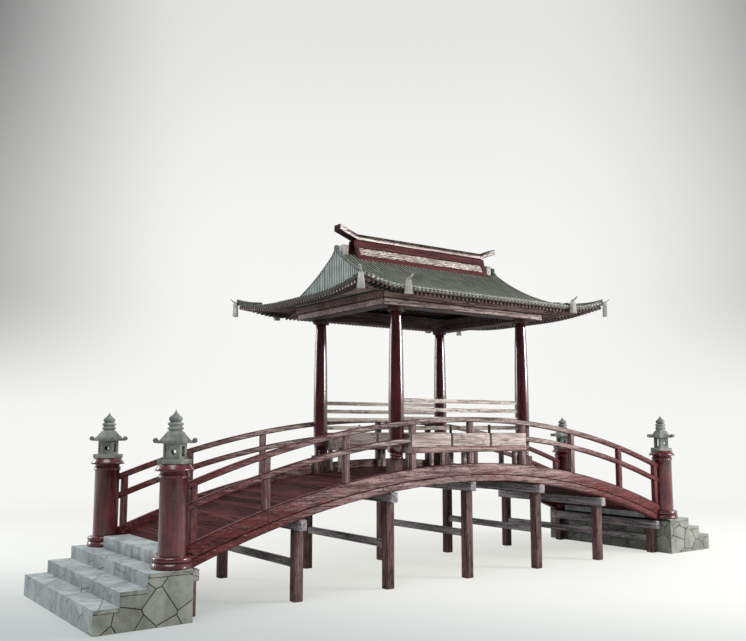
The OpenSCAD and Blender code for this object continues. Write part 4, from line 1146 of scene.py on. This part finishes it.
def stones(rng, regions, pitch, joint):
    lows, highs = [min(c) for c in zip(*regions)], [max(c) for c in zip(*regions)]
    seeds = scatter(rng, lows[0], lows[1], highs[2], highs[3], pitch)
    for a in seeds:
        shade = rng.random()
        for u0, v0, u1, v1 in regions:
            poly = [(u0, v0), (u1, v0), (u1, v1), (u0, v1)]
            for b in seeds:
                if b is not a and poly:
                    nx, ny = b[0] - a[0], b[1] - a[1]
                    size = math.hypot(nx, ny)
                    nx, ny = nx / size, ny / size
                    d = (a[0] + b[0]) / 2 * nx + (a[1] + b[1]) / 2 * ny - joint / 2
                    poly = clip(poly, nx, ny, d)
            if len(poly) > 2:
                yield poly, shade


# %% [markdown]
# An outline becomes a thin stone that stands a little proud of the stair, some more than others. A
# face of the stair is given by the place where its measures start, two axes on it and the way out.

# %% Set the stones on a face
STONE_SUNK = 0.003


def set_stones(skin, finish, origin, u, v, out, regions, pitch, joint, proud, seed):
    mark = skin.faces.layers.float["shade"]
    origin, u, v, out = Vector(origin), Vector(u), Vector(v), Vector(out)
    for poly, shade in stones(random.Random(seed), regions, pitch, joint):
        base = [origin + u * p[0] + v * p[1] for p in poly]
        high = proud * (0.75 + 0.25 * shade)
        low = [skin.verts.new(p - out * STONE_SUNK) for p in base]
        top = [skin.verts.new(p + out * high) for p in base]
        n = len(base)
        made = [skin.faces.new(top), skin.faces.new(low[::-1])]
        made += [skin.faces.new((low[i], low[(i + 1) % n], top[(i + 1) % n], top[i])) for i in range(n)]
        for face in made:
            face[mark] = shade
            face.material_index = finish


# %% [markdown]
# A stair has three levels. Its sides and the wall under the deck are rubble with a thin course of slabs
# along each top edge, and its treads and risers are large cut stones. The solid stair behind stays and
# shows only as the joint.

# %% Pave the stairs
TREAD, LOWEST_RISER, COURSE, COURSE_JOINT, SLAB_LAP = 0.313, 0.270, 0.042, 0.008, 0.04
RUBBLE, CUT = 0, 1
ACROSS, UPWARD = (0, 1, 0), (0, 0, 1)
plat_low, plat_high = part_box("right_platform")
step_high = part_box("right_steps")[1]
stair_y, upper_x = plat_high.y, plat_high.x + TREAD
levels = [(plat_low.x, plat_high.x, plat_high.z), (plat_high.x, upper_x, step_high.z),
          (upper_x, step_high.x, LOWEST_RISER)]
risers = [(x1, z0, z1) for (_, x1, z1), z0 in zip(levels, (step_high.z, LOWEST_RISER, 0.0))]
walls = [(x0, 0, x1, z - COURSE - COURSE_JOINT) for x0, x1, z in levels]
courses = [(x0, z - COURSE, x1, z) for x0, x1, z in levels]
for side, name in ((-1, "left"), (1, "right")):
    skin = bmesh.new()
    skin.faces.layers.float.new("shade")
    along = (side, 0, 0)
    for y in (-1, 1):
        shaded_flank_axis = ((0, y * stair_y, 0), along, UPWARD, (0, y, 0))
        set_stones(skin, RUBBLE, *shaded_flank_axis, walls, (0.43, 0.36), 0.013, 0.010, 31 + y + side * 2)
        set_stones(skin, RUBBLE, *shaded_flank_axis, courses, (0.55, 1.0), 0.006, 0.010, 41 + y + side * 2)
    for i, (x0, x1, z) in enumerate(levels):
        set_stones(skin, CUT, (0, 0, z), along, ACROSS, UPWARD, [(x0, -stair_y, x1, stair_y)],
                   (0.34, 0.52), 0.009, 0.004, 51 + i + side)
    for i, (x, z0, z1) in enumerate(risers):
        set_stones(skin, CUT, (side * x, 0, 0), ACROSS, UPWARD, along, [(-stair_y, z0, stair_y, z1)],
                   (0.62, 1.0), 0.008, 0.004, 61 + i + side)
    set_stones(skin, RUBBLE, (side * plat_low.x, 0, 0), ACROSS, UPWARD, (-side, 0, 0),
               [(-stair_y, 0, stair_y, plat_high.z - SLAB_LAP)], (0.46, 0.36), 0.013, 0.010, 71 + side)
    bmesh.ops.recalc_face_normals(skin, faces=skin.faces)
    label = name + "_stair_stones"
    mesh = mesh_of(label, skin)
    mesh.materials.append(paving)
    mesh.materials.append(tread_stone)
    settle(stand(label, mesh), "stone")
    print(label, "faces:", len(mesh.polygons))
    for part in ("_steps", "_platform"):
        mesh = nodes[name + part].data
        mesh.materials.clear()
        mesh.materials.append(joint_stone)

# %% [markdown]
# The long board on the ridge is pale on its two faces and dark round its edges. The faces are set in by
# a finger's width, and the rim that this leaves takes the dark finish with the rest.

# %% Faces of the ridge board
RIM = 0.007
mesh = dressed["ridge_board"].data
mesh.materials.append(board_pale)
skin = bmesh.new()
skin.from_mesh(mesh)
flats = [f for f in skin.faces if abs(f.normal.y) > 0.9]
bmesh.ops.inset_region(skin, faces=flats, thickness=RIM, use_even_offset=True)
for face in flats:
    face.material_index = 1
skin.to_mesh(mesh)
skin.free()
print("ridge board faces made pale:", len(flats))

# %% [markdown]
# Last, the helpers go.

# %% Finish
for item in helpers:
    bpy.data.objects.remove(item)
